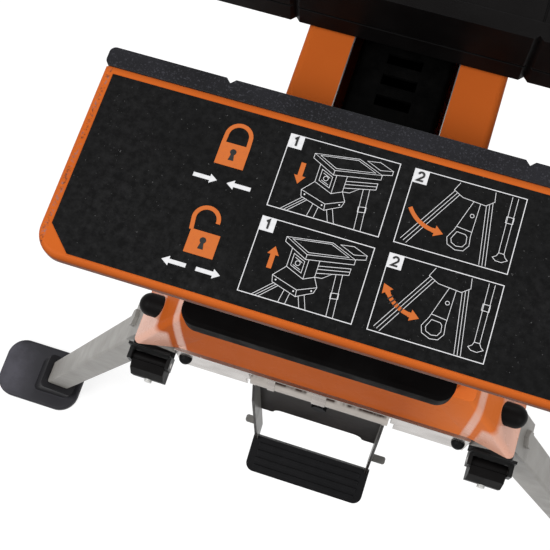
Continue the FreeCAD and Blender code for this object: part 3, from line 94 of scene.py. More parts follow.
class Surface:
    # a material with a Principled shader and short calls for the nodes that feed it
    def __init__(self, name, **values):
        self.material = bpy.data.materials.new(name)
        self.material.use_nodes = True
        self.tree = self.material.node_tree
        self.shader = self.tree.nodes["Principled BSDF"]
        for socket, value in values.items():
            self.shader.inputs[socket.replace("_", " ")].default_value = value
        self.place = self.tree.nodes.new("ShaderNodeTexCoord").outputs["Object"]

    def node(self, kind, **settings):
        made = self.tree.nodes.new(kind)
        for key, value in settings.items():
            setattr(made, key, value)
        return made

    def link(self, source, target):
        self.tree.links.new(source, target)

    def axes(self, vector=None):
        # the X, Y and Z of a vector, or of the place on the object
        split = self.node("ShaderNodeSeparateXYZ")
        self.link(vector or self.place, split.inputs["Vector"])
        return split.outputs

    def stretched(self, x, y, z):
        mapping = self.node("ShaderNodeMapping")
        mapping.inputs["Scale"].default_value = (x, y, z)
        self.link(self.place, mapping.inputs["Vector"])
        return mapping.outputs["Vector"]

    def noise(self, scale, detail, rough=0.5, vector=None):
        made = self.node("ShaderNodeTexNoise")
        made.inputs["Scale"].default_value = scale
        made.inputs["Detail"].default_value = detail
        made.inputs["Roughness"].default_value = rough
        self.link(vector or self.place, made.inputs["Vector"])
        return made.outputs["Fac"]

    def streaks(self, x, y, z):
        # noise drawn out along the axes with the smallest scale
        return self.noise(1.0, 3.0, 0.6, self.stretched(x, y, z))

    def cells(self, scale):
        made = self.node("ShaderNodeTexVoronoi")
        made.inputs["Scale"].default_value = scale
        self.link(self.place, made.inputs["Vector"])
        return made.outputs["Distance"]

    def ramp(self, source, low, high, start=0.0, end=1.0):
        # source between low and high goes to start and end
        made = self.node("ShaderNodeMapRange", clamp=True)
        made.inputs["From Min"].default_value = low
        made.inputs["From Max"].default_value = high
        made.inputs["To Min"].default_value = start
        made.inputs["To Max"].default_value = end
        self.link(source, made.inputs["Value"])
        return made.outputs["Result"]

    def math(self, operation, first, second=0.0):
        made = self.node("ShaderNodeMath", operation=operation)
        for socket, value in zip(made.inputs, (first, second)):
            if isinstance(value, (int, float)):
                socket.default_value = value
            else:
                self.link(value, socket)
        return made.outputs["Value"]

    def mix(self, factor, first, second, share=1.0):
        # first where the factor is 0; where it is 1, the given share of second
        if share < 1.0:
            factor = self.math("MULTIPLY", factor, share)
        made = self.node("ShaderNodeMix", data_type="RGBA")
        self.link(factor, made.inputs["Factor"])
        for socket, value in ((made.inputs[6], first), (made.inputs[7], second)):
            if isinstance(value, tuple):
                socket.default_value = (*value, 1.0)
            else:
                self.link(value, socket)
        return made.outputs[2]

    def edges(self, radius):
        # soft corner normals and a mask that is 1 along sharp edges
        bevel = self.node("ShaderNodeBevel", samples=4)
        bevel.inputs["Radius"].default_value = radius
        geometry = self.node("ShaderNodeNewGeometry")
        dot = self.node("ShaderNodeVectorMath", operation="DOT_PRODUCT")
        self.link(bevel.outputs["Normal"], dot.inputs[0])
        self.link(geometry.outputs["Normal"], dot.inputs[1])
        mask = self.ramp(dot.outputs["Value"], 0.97, 0.80)
        return bevel.outputs["Normal"], mask

    def bump(self, height, distance, strength, normal=None):
        made = self.node("ShaderNodeBump")
        made.inputs["Strength"].default_value = strength
        made.inputs["Distance"].default_value = distance
        self.link(height, made.inputs["Height"])
        if normal is not None:
            self.link(normal, made.inputs["Normal"])
        self.link(made.outputs["Normal"], self.shader.inputs["Normal"])

    def colour(self, source):
        self.link(source, self.shader.inputs["Base Color"])

    def roughness(self, source):
        self.link(source, self.shader.inputs["Roughness"])

    def metal(self, source):
        self.link(source, self.shader.inputs["Metallic"])


# Materials

ORANGE = (0.475, 0.102, 0.0165)
ORANGE_DEEP = (0.42, 0.086, 0.0135)
# lighter orange for the painted reflection on the apron's right end
ORANGE_PAINTED_REFLECTION = (0.68, 0.165, 0.035)
# dark orange for the painted shade under the panel's rolled front edge
ORANGE_PAINTED_SHADE = (0.13, 0.030, 0.008)
# pale pink for the painted reflection and highlights on the apron's shoulders and bends
PINK_PAINTED_REFLECTION = (0.74, 0.47, 0.37)
BARE_METAL = (0.34, 0.33, 0.32)


def bare_slot(s):
    # mask of the beam's slot, where the paint is off
    at = s.axes()
    inner = s.math("LESS_THAN", s.math("ABSOLUTE", at["X"]), SLOT_HALF)
    return s.math("MULTIPLY", inner, s.math("GREATER_THAN", at["Z"], SLOT_LOW))


def panel_nicks_and_painted_shade(s, colour):
    # a row of fine dark nicks between the left side of the panel and its label
    at = s.axes()
    off = s.math("ABSOLUTE", s.math("SUBTRACT", at["X"], NICK_X))
    nick = s.math("MULTIPLY", s.ramp(off, 0.0017, 0.0006), s.ramp(s.noise(620.0, 5.0, 0.75), 0.50, 0.57))
    ash = s.mix(s.ramp(s.noise(210.0, 2.0), 0.45, 0.6), (0.05, 0.028, 0.024), (0.20, 0.13, 0.13))
    colour = s.mix(nick, colour, ash, 0.8)
    # painted shade: the rolled front edge is painted darker towards its underside, where shade falls
    under = s.math("MULTIPLY", s.ramp(at["Z"], PANEL_TOP - 0.0003, PANEL_TOP - 0.0048),
                   s.ramp(at["Y"], PANEL_FRONT + 0.014, PANEL_FRONT + 0.006))
    return s.mix(under, colour, ORANGE_PAINTED_SHADE)


def apron_gloss_and_painted_reflections(s, colour):
    # the lower front shoulders and the bends beside them are glossier and painted pale pink as a painted
    # reflection, with a painted highlight along each bend; the right end is painted lighter as a painted
    # reflection
    at = s.axes()
    side = s.math("ABSOLUTE", at["X"])
    front = s.ramp(at["Y"], APRON_FRONT + 0.050, APRON_FRONT + 0.034)
    corner = s.math("MULTIPLY", s.ramp(side, BEND_X + 0.004, BEND_X + 0.007),
                    s.ramp(at["Z"], APRON_LOW + 0.042, APRON_LOW + 0.034))
    bend = s.math("MULTIPLY", s.ramp(side, BEND_X - 0.008, BEND_X - 0.006),
                  s.ramp(side, BEND_X, BEND_X - 0.002))
    # painted reflection: the right end of the front is painted lighter
    painted_reflection_end = s.ramp(at["X"], BEND_X - 0.060, BEND_X - 0.010)
    colour = s.mix(s.math("MULTIPLY", front, painted_reflection_end), colour, ORANGE_PAINTED_REFLECTION)
    gloss_and_painted_reflection = s.math("MULTIPLY", front, s.math("MAXIMUM", corner, s.math("MULTIPLY", bend, 0.8)))
    s.link(s.ramp(gloss_and_painted_reflection, 0.0, 1.0, 0.006, 0.35), s.shader.inputs["Specular IOR Level"])
    return s.mix(gloss_and_painted_reflection, colour, PINK_PAINTED_REFLECTION, 0.65)


def gloss_orange(name, bare=None, wear=None):
    # powder coat with a slight orange peel, worn to metal at a few corners;
    # bare gives a mask of further metal, wear changes the colour
    s = Surface(name, Specular_IOR_Level=0.012)
    colour = s.mix(s.ramp(s.noise(9.0, 4.0), 0.35, 0.65), ORANGE, ORANGE_DEEP)
    soft, edge = s.edges(0.0012)
    chips = s.math("MULTIPLY", edge, s.ramp(s.noise(260.0, 5.0, 0.65), 0.60, 0.68))
    if bare:
        chips = s.math("MAXIMUM", chips, bare(s))
    # on the panel and apron, wear also paints shade and reflections into the colour
    if wear:
        colour = wear(s, colour)
    s.colour(s.mix(chips, colour, BARE_METAL))
    s.metal(s.math("MULTIPLY", chips, 0.7))
    s.roughness(s.ramp(s.noise(45.0, 4.0), 0.3, 0.7, 0.22, 0.34))
    s.bump(s.noise(520.0, 2.0), 0.00006, 0.5, soft)
    return s.material


def satin_black(name):
    s = Surface(name, Specular_IOR_Level=0.04)
    soft, edge = s.edges(0.0010)
    grain = s.noise(1400.0, 2.0)
    colour = s.mix(s.ramp(grain, 0.4, 0.7), (0.0045, 0.0045, 0.0048), (0.0085, 0.0085, 0.009))
    s.colour(s.mix(edge, colour, (0.03, 0.03, 0.03), 0.35))
    s.roughness(s.ramp(s.noise(60.0, 4.0), 0.3, 0.7, 0.42, 0.58))
    s.bump(grain, 0.00005, 0.6, soft)
    return s.material


def bright_zinc(name):
    # drawn and plated sheet: fine streaks along X with slow cloudy changes
    s = Surface(name, Metallic=1.0, Specular_IOR_Level=0.5)
    soft, edge = s.edges(0.0006)
    streak = s.streaks(14.0, 900.0, 900.0)
    cloud = s.noise(38.0, 4.0)
    colour = s.mix(s.ramp(cloud, 0.3, 0.7), (0.41, 0.375, 0.35), (0.33, 0.30, 0.278))
    s.colour(s.mix(edge, colour, (0.62, 0.60, 0.58), 0.5))
    s.roughness(s.ramp(s.math("ADD", streak, cloud), 0.7, 1.3, 0.17, 0.34))
    s.bump(streak, 0.00003, 0.4, soft)
    return s.material


def plated_stud(name):
    # dull zinc plating on turned steel
    s = Surface(name, Metallic=0.3, Specular_IOR_Level=0.4)
    soft, edge = s.edges(0.0004)
    cloud = s.ramp(s.noise(120.0, 4.0), 0.35, 0.7)
    colour = s.mix(cloud, (0.66, 0.66, 0.64), (0.52, 0.52, 0.50))
    s.colour(s.mix(edge, colour, (0.75, 0.75, 0.73), 0.5))
    s.roughness(s.ramp(cloud, 0.0, 1.0, 0.26, 0.40))
    s.bump(s.noise(900.0, 2.0), 0.00003, 0.4, soft)
    return s.material


def grey_paint(name):
    # flecked grey paint, thin along some edges
    s = Surface(name, Specular_IOR_Level=0.2)
    soft, edge = s.edges(0.0010)
    fleck = s.noise(1700.0, 2.0)
    colour = s.mix(s.ramp(s.noise(14.0, 4.0), 0.3, 0.7), (0.275, 0.262, 0.243), (0.225, 0.214, 0.197))
    colour = s.mix(s.ramp(fleck, 0.55, 0.75), colour, (0.37, 0.36, 0.34), 0.3)
    wear = s.math("MULTIPLY", edge, s.ramp(s.noise(120.0, 5.0, 0.45), 0.52, 0.66))
    s.colour(s.mix(wear, colour, (0.24, 0.23, 0.22)))
    s.roughness(s.ramp(s.noise(50.0, 4.0), 0.3, 0.7, 0.36, 0.5))
    s.bump(fleck, 0.00004, 0.4, soft)
    return s.material


def moulded_rubber(name):
    s = Surface(name, Specular_IOR_Level=0.05)
    soft, edge = s.edges(0.0012)
    dust = s.ramp(s.noise(70.0, 6.0, 0.7), 0.45, 0.75)
    colour = s.mix(dust, (0.0045, 0.0045, 0.005), (0.013, 0.0125, 0.0135), 0.45)
    s.colour(s.mix(edge, colour, (0.045, 0.045, 0.048), 0.3))
    s.roughness(s.ramp(dust, 0.0, 1.0, 0.46, 0.66))
    s.bump(s.noise(950.0, 3.0), 0.00008, 0.6, soft)
    return s.material


def speckled_jaw(name):
    # hard moulding with a fine pale speckle and rubbed corners
    s = Surface(name, Specular_IOR_Level=0.06)
    soft, edge = s.edges(0.0010)
    speck = s.ramp(s.noise(820.0, 2.0, 0.7), 0.56, 0.70)
    base = s.mix(s.ramp(s.noise(25.0, 5.0), 0.35, 0.7), (0.0085, 0.0085, 0.0095), (0.015, 0.015, 0.018))
    colour = s.mix(speck, base, (0.07, 0.07, 0.082), 0.45)
    s.colour(s.mix(edge, colour, (0.06, 0.06, 0.065), 0.4))
    s.roughness(s.ramp(speck, 0.0, 1.0, 0.52, 0.7))
    s.bump(s.noise(1100.0, 3.0), 0.0001, 0.6, soft)
    return s.material


def moulded_plastic(name, shine):
    # near-black plastic with a fine cellular grain
    s = Surface(name, Specular_IOR_Level=shine)
    soft, edge = s.edges(0.0008)
    colour = s.mix(s.ramp(s.noise(30.0, 5.0), 0.35, 0.7), (0.0028, 0.0024, 0.0024), (0.0048, 0.0044, 0.0044))
    s.colour(s.mix(edge, colour, (0.025, 0.025, 0.026), 0.3))
    s.roughness(s.ramp(s.noise(90.0, 4.0), 0.3, 0.7, 0.36, 0.52))
    s.bump(s.cells(1300.0), 0.00007, 0.6, soft)
    return s.material


def label_film(name):
    # satin film, cloudy where it has been wiped, the pale cloud in its colour partly a painted reflection,
    # with dust and hairline scratches
    s = Surface(name, Specular_IOR_Level=0.05)
    cloud = s.ramp(s.noise(190.0, 7.0, 0.74), 0.40, 0.66)
    patch = s.ramp(s.noise(11.0, 4.0), 0.34, 0.66, 0.35, 1.0)
    wiped_haze_and_painted_sheen = s.math("MULTIPLY", cloud, patch)
    hair = s.ramp(s.noise(1.0, 6.0, 0.7, s.stretched(700.0, 16.0, 16.0)), 0.70, 0.76)
    dust = s.ramp(s.noise(560.0, 3.0, 0.7), 0.69, 0.74)
    # partly painted reflection: the pale cloud in the colour
    colour = s.mix(wiped_haze_and_painted_sheen, (0.0036, 0.0036, 0.0037), (0.0118, 0.0118, 0.0120))
    colour = s.mix(hair, colour, (0.09, 0.09, 0.09), 0.10)
    s.colour(s.mix(dust, colour, (0.16, 0.16, 0.16), 0.55))
    s.roughness(s.ramp(wiped_haze_and_painted_sheen, 0.0, 1.0, 0.36, 0.55))
    s.bump(s.noise(240.0, 4.0, 0.45), 0.00012, 0.5)
    return s.material


def printed_ink(name, colour, worn):
    s = Surface(name, Specular_IOR_Level=0.25)
    patch = s.ramp(s.noise(420.0, 4.0, 0.45), 0.45, 0.75)
    s.colour(s.mix(patch, colour, worn, 0.5))
    s.roughness(s.ramp(patch, 0.0, 1.0, 0.42, 0.60))
    s.bump(s.noise(1900.0, 1.0), 0.00002, 0.4)
    return s.material


def pedal_plate(name):
    # pressed pedal: broad web painted dark as a painted reflection, grey side flanges and ears, bright hinge
    # tube with painted shade streaked on its upward faces
    s = Surface(name, Specular_IOR_Level=0.05)
    soft, edge = s.edges(0.0006)
    at = s.axes()
    facing = s.axes(s.node("ShaderNodeNewGeometry").outputs["Normal"])
    flange = s.ramp(s.math("ABSOLUTE", facing["X"]), 0.55, 0.75)
    ear = s.math("GREATER_THAN", s.math("ABSOLUTE", at["X"]), PEDAL_HALF)
    flange = s.math("MAXIMUM", flange, ear)
    across = s.math("SUBTRACT", at["Y"], HINGE.y)
    above = s.math("SUBTRACT", at["Z"], HINGE.z)
    away = s.math("ADD", s.math("MULTIPLY", across, across), s.math("MULTIPLY", above, above))
    tube = s.math("LESS_THAN", away, HINGE_REACH ** 2)
    cloud = s.ramp(s.noise(60.0, 5.0, 0.6), 0.35, 0.7)
    # painted reflection: the broad web's dark colour
    dark = s.mix(cloud, (0.007, 0.0052, 0.0047), (0.012, 0.009, 0.008))
    grey = s.mix(cloud, (0.15, 0.147, 0.138), (0.19, 0.186, 0.175))
    bright = s.mix(cloud, (0.40, 0.365, 0.335), (0.34, 0.31, 0.28))
    # painted shade on the hinge tube's upward faces
    upward = s.ramp(facing["Z"], 0.66, 0.80)
    painted_shade_streaks = s.math("MULTIPLY", upward, s.ramp(s.streaks(70.0, 20.0, 20.0), 0.40, 0.52))
    bright = s.mix(painted_shade_streaks, bright, (0.030, 0.018, 0.014))
    shown = s.math("MAXIMUM", flange, s.math("MULTIPLY", edge, 0.5))
    s.colour(s.mix(tube, s.mix(shown, dark, grey), bright))
    s.metal(s.math("MULTIPLY", tube, 0.9))
    s.roughness(s.ramp(cloud, 0.0, 1.0, 0.28, 0.42))
    s.bump(s.streaks(900.0, 900.0, 14.0), 0.00003, 0.4, soft)
    return s.material


def bracket_paint(name):
    # leg bracket: grey saddle, black strap in front of it
    s = Surface(name, Specular_IOR_Level=0.12)
    soft = s.edges(0.0010)[0]
    strap = s.math("LESS_THAN", s.axes()["Y"], STRAP_Y)
    cloud = s.ramp(s.noise(30.0, 5.0), 0.3, 0.7)
    grey = s.mix(cloud, (0.265, 0.252, 0.235), (0.215, 0.205, 0.19))
    black = s.mix(cloud, (0.005, 0.005, 0.005), (0.009, 0.009, 0.009))
    s.colour(s.mix(strap, grey, black))
    s.roughness(s.ramp(cloud, 0.0, 1.0, 0.36, 0.5))
    s.bump(s.noise(1500.0, 2.0), 0.00004, 0.4, soft)
    return s.material


def foot_dust_and_painted_sheen(name):
    # rubber with scuffed dust, painted paler towards its outer end as a painted sheen, with its socket on
    # top painted dark as painted shade
    s = Surface(name, Specular_IOR_Level=0.14)
    soft, edge = s.edges(0.0030)
    at = s.axes()
    scuff = s.ramp(s.noise(16.0, 6.0, 0.6), 0.36, 0.62)
    # painted sheen: paler towards the outer end
    painted_sheen_outward = s.ramp(s.math("ABSOLUTE", at["X"]), FOOT_SHEEN_FROM, FOOT_SHEEN_FULL)
    dust_and_painted_sheen = s.mix(scuff, (0.016, 0.0155, 0.019), (0.060, 0.058, 0.070))
    colour = s.mix(painted_sheen_outward, (0.019, 0.0185, 0.022), dust_and_painted_sheen)
    colour = s.mix(edge, colour, (0.070, 0.068, 0.080), 0.35)
    # painted shade: the socket on top painted dark around the leg's end
    socket = s.ramp(at["Z"], SOCKET_FROM, SOCKET_FROM + 0.003)
    s.colour(s.mix(socket, colour, (0.0075, 0.0072, 0.0085)))
    s.roughness(s.ramp(scuff, 0.0, 1.0, 0.40, 0.60))
    s.bump(s.noise(900.0, 3.0), 0.00008, 0.6, soft)
    return s.material


def oiled_black(name):
    # draw bar inside the beam, thinly oiled and very dark
    s = Surface(name, Specular_IOR_Level=0.02)
    soft = s.edges(0.0006)[0]
    film = s.ramp(s.noise(90.0, 5.0, 0.65), 0.35, 0.7)
    s.colour(s.mix(film, (0.0012, 0.0012, 0.0012), (0.0028, 0.0027, 0.0026)))
    s.roughness(s.ramp(film, 0.0, 1.0, 0.35, 0.55))
    s.bump(s.streaks(900.0, 14.0, 900.0), 0.00003, 0.4, soft)
    return s.material


def guide_nylon(name):
    s = Surface(name, Specular_IOR_Level=0.35)
    soft = s.edges(0.0006)[0]
    rubbed = s.ramp(s.noise(110.0, 5.0, 0.45), 0.4, 0.7)
    s.colour(s.mix(rubbed, (0.085, 0.085, 0.085), (0.12, 0.12, 0.118)))
    s.roughness(s.ramp(rubbed, 0.0, 1.0, 0.34, 0.5))
    s.bump(s.noise(800.0, 2.0), 0.00004, 0.5, soft)
    return s.material


# Each piece takes the finish of its material slot, unless it has one of its own
finishes = {
    "orange_paint": gloss_orange("orange_paint"),
    "black_paint": satin_black("black_paint"),
    "bright_steel": bright_zinc("bright_steel"),
    "grey_paint": grey_paint("grey_paint"),
    "black_rubber": moulded_rubber("black_rubber"),
    "jaw_polyurethane": speckled_jaw("jaw_polyurethane"),
    "black_plastic": moulded_plastic("black_plastic", 0.03),
    "label_film": label_film("label_film"),
    "guide_nylon": guide_nylon("guide_nylon"),
}
own_finishes = (
    (gloss_orange("beam_paint", bare=bare_slot), ("beam",)),
    (gloss_orange("panel_paint", wear=panel_nicks_and_painted_shade), ("fixed_jaw_panel",)),
    (gloss_orange("apron_paint", wear=apron_gloss_and_painted_reflections), ("apron",)),
    (pedal_plate("pedal_plate"), ("pedal_lever",)),
    (finishes["black_paint"], ("pedal_bolt",)),
    (bracket_paint("bracket_paint"), ("leg_brackets",)),
    (oiled_black("oiled_black"), ("draw_bar", "draw_bar_plug")),
    (moulded_plastic("matt_plastic", 0.004), ("lock_lever",)),
    (moulded_plastic("glossy_plastic", 0.04), ("leg_latch_right", "leg_latch_left", "apron_bumpers")),
    (plated_stud("plated_stud"), ("latch_stud_right", "latch_stud_left")),
    (foot_dust_and_painted_sheen("foot_rubber"), ("leg_foot_right", "leg_foot_left", "rear_foot")),
)
special = {name: material for material, names in own_finishes for name in names}
for part in frame["record"]["subparts"]:
    thing = nodes[part["node"]]
    thing.data.materials.clear()
    thing.data.materials.append(special.get(part["node"], finishes[part["material_slot"]]))


# Return spring behind the draw bar, a wound coil in place of the imported spring

SPRING_WIRE = 0.00125
SPRING_PITCH = 0.005
SPRING_SIDES = 10
SPRING_STEPS = 24


def wire_ring(mesh, centre, out):
    # the points round the wire at one place; out points away from the axis of the spring
    ring = []
    for i in range(SPRING_SIDES):
        angle = 2 * math.pi * i / SPRING_SIDES
        offset = out * math.cos(angle) + Vector((0, math.sin(angle), 0))
        ring.append(mesh.verts.new(centre + offset * SPRING_WIRE))
    return ring


def coil_mesh(middle, radius, start, length):
    # a wire wound round a line along Y, closed at both ends
    count = round(SPRING_STEPS * length / SPRING_PITCH)
    mesh = bmesh.new()
    rings = []
    for i in range(count + 1):
        turn = 2 * math.pi * i / SPRING_STEPS
        out = Vector((math.cos(turn), 0, -math.sin(turn)))
        centre = Vector((middle.x, start + length * i / count, middle.z)) + out * radius
        rings.append(wire_ring(mesh, centre, out))
    for before, after in zip(rings, rings[1:]):
        for j in range(SPRING_SIDES):
            k = (j + 1) % SPRING_SIDES
            mesh.faces.new((before[j], before[k], after[k], after[j]))
    mesh.faces.new(rings[0])
    mesh.faces.new(rings[-1])
    bmesh.ops.recalc_face_normals(mesh, faces=mesh.faces)
    data = bpy.data.meshes.new("spring_coil")
    mesh.to_mesh(data)
    mesh.free()
    data.shade_smooth()
    return data


def return_spring():
    low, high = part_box("return_spring")
    middle = (low + high) / 2
    radius = (high.x - low.x) / 2 - SPRING_WIRE
    start = low.y + SPRING_WIRE
    data = coil_mesh(middle, radius, start, high.y - SPRING_WIRE - start)
    data.materials.append(finishes["bright_steel"])
    coil = bpy.data.objects.new("spring_coil", data)
    bpy.context.scene.collection.objects.link(coil)
    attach(coil, "frame")
    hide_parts("return_spring")
    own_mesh(coil)


return_spring()


# Printed marks on the label: flat shapes in millimetres, u along the jaw, v back from the user

MM = 0.001
INK_STEP = 0.003
INK_ROOT = 0.05
FRAME_LINE = 0.5
DRAWN_LINE = 0.30
MITRE_LEAST = 0.4
CURVE_STEPS = 16
SIGN_HEAD = 3.4


def circle(u, v, radius, sides):
    turns = [2 * math.pi * i / sides for i in range(sides)]
    return [(u + radius * math.cos(t), v + radius * math.sin(t)) for t in turns]


class Print:
    # ink of one colour; each shape lies a hair above the one before it
    def __init__(self, name, material, lift):
        self.name = name
        self.material = material
        self.height = LABEL_TOP + lift * MM
        self.points = []
        self.faces = []

    def add(self, outline, faces):
        start = len(self.points)
        self.height += INK_STEP * MM
        for u, v in outline:
            self.points.append((u * MM, FACE_Y + v * MM, self.height))
        for face in faces:
            self.faces.append([start + i for i in face])

    def area(self, outline):
        ring = zip(outline, outline[1:] + outline[:1])
        turning = sum(a[0] * b[1] - b[0] * a[1] for a, b in ring)
        order = range(len(outline)) if turning > 0 else reversed(range(len(outline)))
        self.add(outline, [list(order)])

    def block(self, left, right, front, back):
        self.area([(left, front), (right, front), (right, back), (left, back)])

    def dot(self, u, v, radius, sides=20):
        self.area(circle(u, v, radius, sides))

    def line(self, path, width, closed=False):
        # a ribbon with mitred corners
        count = len(path)
        left = []
        right = []
        for i, (u, v) in enumerate(path):
            before = path[i - 1] if i or closed else path[i]
            after = path[(i + 1) % count] if i + 1 < count or closed else path[i]
            a = Vector((u - before[0], v - before[1]))
            b = Vector((after[0] - u, after[1] - v))
            a = (a if a.length else b).normalized()
            b = (b if b.length else a).normalized()
            middle = (a + b).normalized()
            reach = width / 2 / max(MITRE_LEAST, middle.dot(a))
            left.append((u - middle.y * reach, v + middle.x * reach))
            right.append((u + middle.y * reach, v - middle.x * reach))
        runs = count if closed else count - 1
        faces = []
        for i in range(runs):
            j = (i + 1) % count
            faces.append((count + i, count + j, j, i))
        self.add(left + right, faces)

    def arc(self, u, v, radius, start, end, width, steps):
        path = []
        for i in range(steps + 1):
            turn = math.radians(start + (end - start) * i / steps)
            path.append((u + radius * math.cos(turn), v + radius * math.sin(turn)))
        self.line(path, width)
        return path

    def ring(self, u, v, radius, width):
        self.line(circle(u, v, radius, CURVE_STEPS), width, True)

    def arrow(self, u, v, degrees, length, width):
        # a straight arrow whose tip is at u, v; width is half of its head's
        turn = math.radians(degrees)
        head = 1.5 * width
        shaft = 0.42 * width
        shape = [(0, 0), (-head, width), (-head, shaft), (-length, shaft),
                 (-length, -shaft), (-head, -shaft), (-head, -width)]
        self.area([(u + a * math.cos(turn) - b * math.sin(turn), v + a * math.sin(turn) + b * math.cos(turn))
                   for a, b in shape])

    def finish(self):
        # every shape is closed by sides and by a bottom just under the face of the label
        count = len(self.points)
        bottom = LABEL_TOP - INK_ROOT * MM
        points = self.points + [(x, y, bottom) for x, y, z in self.points]
        faces = list(self.faces)
        rims = []
        for face in self.faces:
            faces.append([count + i for i in reversed(face)])
            rims += zip(face, face[1:] + face[:1])
        known = set(rims)
        for i, j in rims:
            if (j, i) not in known:
                faces.append([j, i, count + i, count + j])
        mesh = bpy.data.meshes.new(self.name)
        mesh.from_pydata(points, [], faces)
        mesh.materials.append(self.material)
        piece = bpy.data.objects.new(self.name, mesh)
        bpy.context.scene.collection.objects.link(piece)
        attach(piece, "frame")


white_ink = printed_ink("white_ink", (0.62, 0.62, 0.63), (0.46, 0.46, 0.47))
orange_ink = printed_ink("orange_ink", (0.465, 0.113, 0.019), (0.39, 0.088, 0.015))
black_ink = printed_ink("black_ink", (0.010, 0.010, 0.010), (0.016, 0.016, 0.016))
white = Print("label_lines", white_ink, 0.04)
orange = Print("label_signs", orange_ink, 0.30)
black = Print("label_knockouts", black_ink, 0.40)


def panel(left, right, front, back, digit):
    # a framed picture with a numbered tab in its far left corner
    white.line([(left, front), (right, front), (right, back), (left, back)], FRAME_LINE, True)
    tab = 8.5
    white.block(left, left + tab, back - tab, back)
    u = left + tab / 2
    v = back - tab / 2
    if digit == 1:
        black.line([(u - 1.1, v + 1.6), (u + 0.3, v + 2.7), (u + 0.3, v - 2.7)], 1.2)
    else:
        top = black.arc(u, v + 1.1, 1.6, 170, -45, 1.1, 10)
        black.line([top[-1], (u - 1.7, v - 2.6), (u + 1.8, v - 2.6)], 1.1)


def padlock(u, v, is_open):
    # body, shackle and keyhole of a padlock; u, v is the middle of the body's far edge
    half = 8.8
    tall = 14.5
    bow_radius = 7.3
    bow_width = 2.5
    bow_root = v - 0.5
    lean, rise, sweep = (-2.4, 7.4, 186) if is_open else (0.0, 5.0, 180)
    orange.block(u - half, u + half, v - tall, v)
    bow = [(u + bow_width / 2 - half + lean / 2, bow_root)]
    for i in range(CURVE_STEPS + 1):
        turn = math.radians(180 - sweep * i / CURVE_STEPS)
        bow.append((u + lean + bow_radius * math.cos(turn), v + rise + bow_radius * math.sin(turn)))
    if not is_open:
        bow.append((u + half - bow_width / 2, bow_root))
    orange.line(bow, bow_width)
    black.dot(u, v - 5.2, 1.9)
    black.area([(u - 0.8, v - 6), (u + 0.8, v - 6), (u + 1.7, v - 10.6), (u - 1.7, v - 10.6)])


def sketch(left, back, strokes):
    # white strokes given from the far left corner of a picture; a last True closes a stroke
    for stroke in strokes:
        closed = stroke[-1] is True
        path = stroke[:-1] if closed else stroke
        white.line([(left + u, back - v) for u, v in path], DRAWN_LINE, closed)


def stand_picture(left, back, up):
    # a plain outline of a stand: two jaws on a beam, column, flared foot and three legs
    jaws = [
        [(17, 8), (43, 4), (58, 10), (31, 15), True],
        [(20.5, 8.3), (42.5, 5), (54, 9.7), (31.5, 13.6), True],
        [(17, 8), (17, 11), (31, 18), (58, 13), (58, 10)],
        [(31, 15), (31, 18)],
        [(47.5, 3.8), (55, 2.6), (63.5, 5.8), (56.2, 7.4), True],
        [(63.5, 5.8), (63.5, 8.4), (58, 9.8)],
    ]
    column = [
        [(22, 13.5), (22, 25), (33, 29.5), (33, 17.6)],
        [(33, 29.5), (39, 26.5), (39, 16.6)],
        [(24, 16.4), (24, 23.6), (31, 26.4), (31, 19.4), True],
        [(25.2, 18.4), (29.8, 20.4)],
        [(25.2, 23), (29.8, 24.8)],
    ]
    foot = [
        [(22, 25), (16, 32), (17, 36), (32, 40.5), (41, 35.6), (42, 32), (39, 26.5)],
        [(16, 32), (31.6, 36.6), (42, 32)],
        [(31.6, 36.6), (32, 40.5)],
    ]
    beam = [
        [(39, 19.6), (57, 15.8), (57, 19.8), (39, 24)],
        [(39, 21.6), (57, 17.8)],
        [(41, 23.6), (48, 21.9), (43, 26), (39, 26.5)],
    ]
    legs = [
        [(18, 36.3), (8, 46.4)], [(21, 37.2), (12, 46.4)], [(19.6, 36.8), (10, 46.4)],
        [(33.5, 39.7), (36, 46.4)], [(36.5, 38.1), (39.6, 46.4)],
        [(25, 38.4), (23.6, 46.4)], [(28.5, 39.5), (27.6, 46.4)],
        [(50, 21.5), (51.6, 46.4)], [(53.6, 20.7), (55.4, 46.4)],
        [(50.3, 32.6), (54.7, 31.8), (55, 35), (50.6, 35.8), True],
    ]
    sketch(left, back, jaws + column + foot + beam + legs)
    white.ring(left + 27.5, back - 21.4, 1.4, DRAWN_LINE)
    for u, v in ((18.6, 34.3), (30, 37.8), (39.6, 34.8)):
        white.dot(left + u, back - v, 0.5, 8)
    tip, heading = (15.5, 90) if up else (29.3, -90)
    orange.arrow(left + 12.6, back - tip, heading, 13.5, SIGN_HEAD)


def swept_path(left, back, start, control, end):
    # a curve from start to end that bends towards the control point
    path = []
    for i in range(CURVE_STEPS + 1):
        t = i / CURVE_STEPS
        u = (1 - t) ** 2 * start[0] + 2 * t * (1 - t) * control[0] + t * t * end[0]
        v = (1 - t) ** 2 * start[1] + 2 * t * (1 - t) * control[1] + t * t * end[1]
        path.append((left + u, back - v))
    return path


def swing_sign(left, back, both_ways):
    # a bent arrow for the pedal's swing; the one for both ways has a second head and dark bars across it
    points = ((3.4, 24.0), (9.5, 33.2), (20.5, 34.0))
    if both_ways:
        points = ((5.0, 22.4), (10.8, 30.6), (20.8, 31.8))
    sweep = swept_path(left, back, *points)
    length = 6.4
    orange.line(sweep, 2.4)
    orange.arrow(sweep[-1][0] + 4.8, sweep[-1][1] - 0.5, -6, length, SIGN_HEAD)
    if both_ways:
        orange.arrow(sweep[0][0] - 3.2, sweep[0][1] + 4.2, 127, length, SIGN_HEAD)
        for i in range(3, 13, 2):
            middle = Vector(sweep[i])
            along = Vector(sweep[i + 1]) - middle
            out = Vector((-along.y, along.x)).normalized() * 2.0
            black.line([tuple(middle - out), tuple(middle + out)], 0.8)


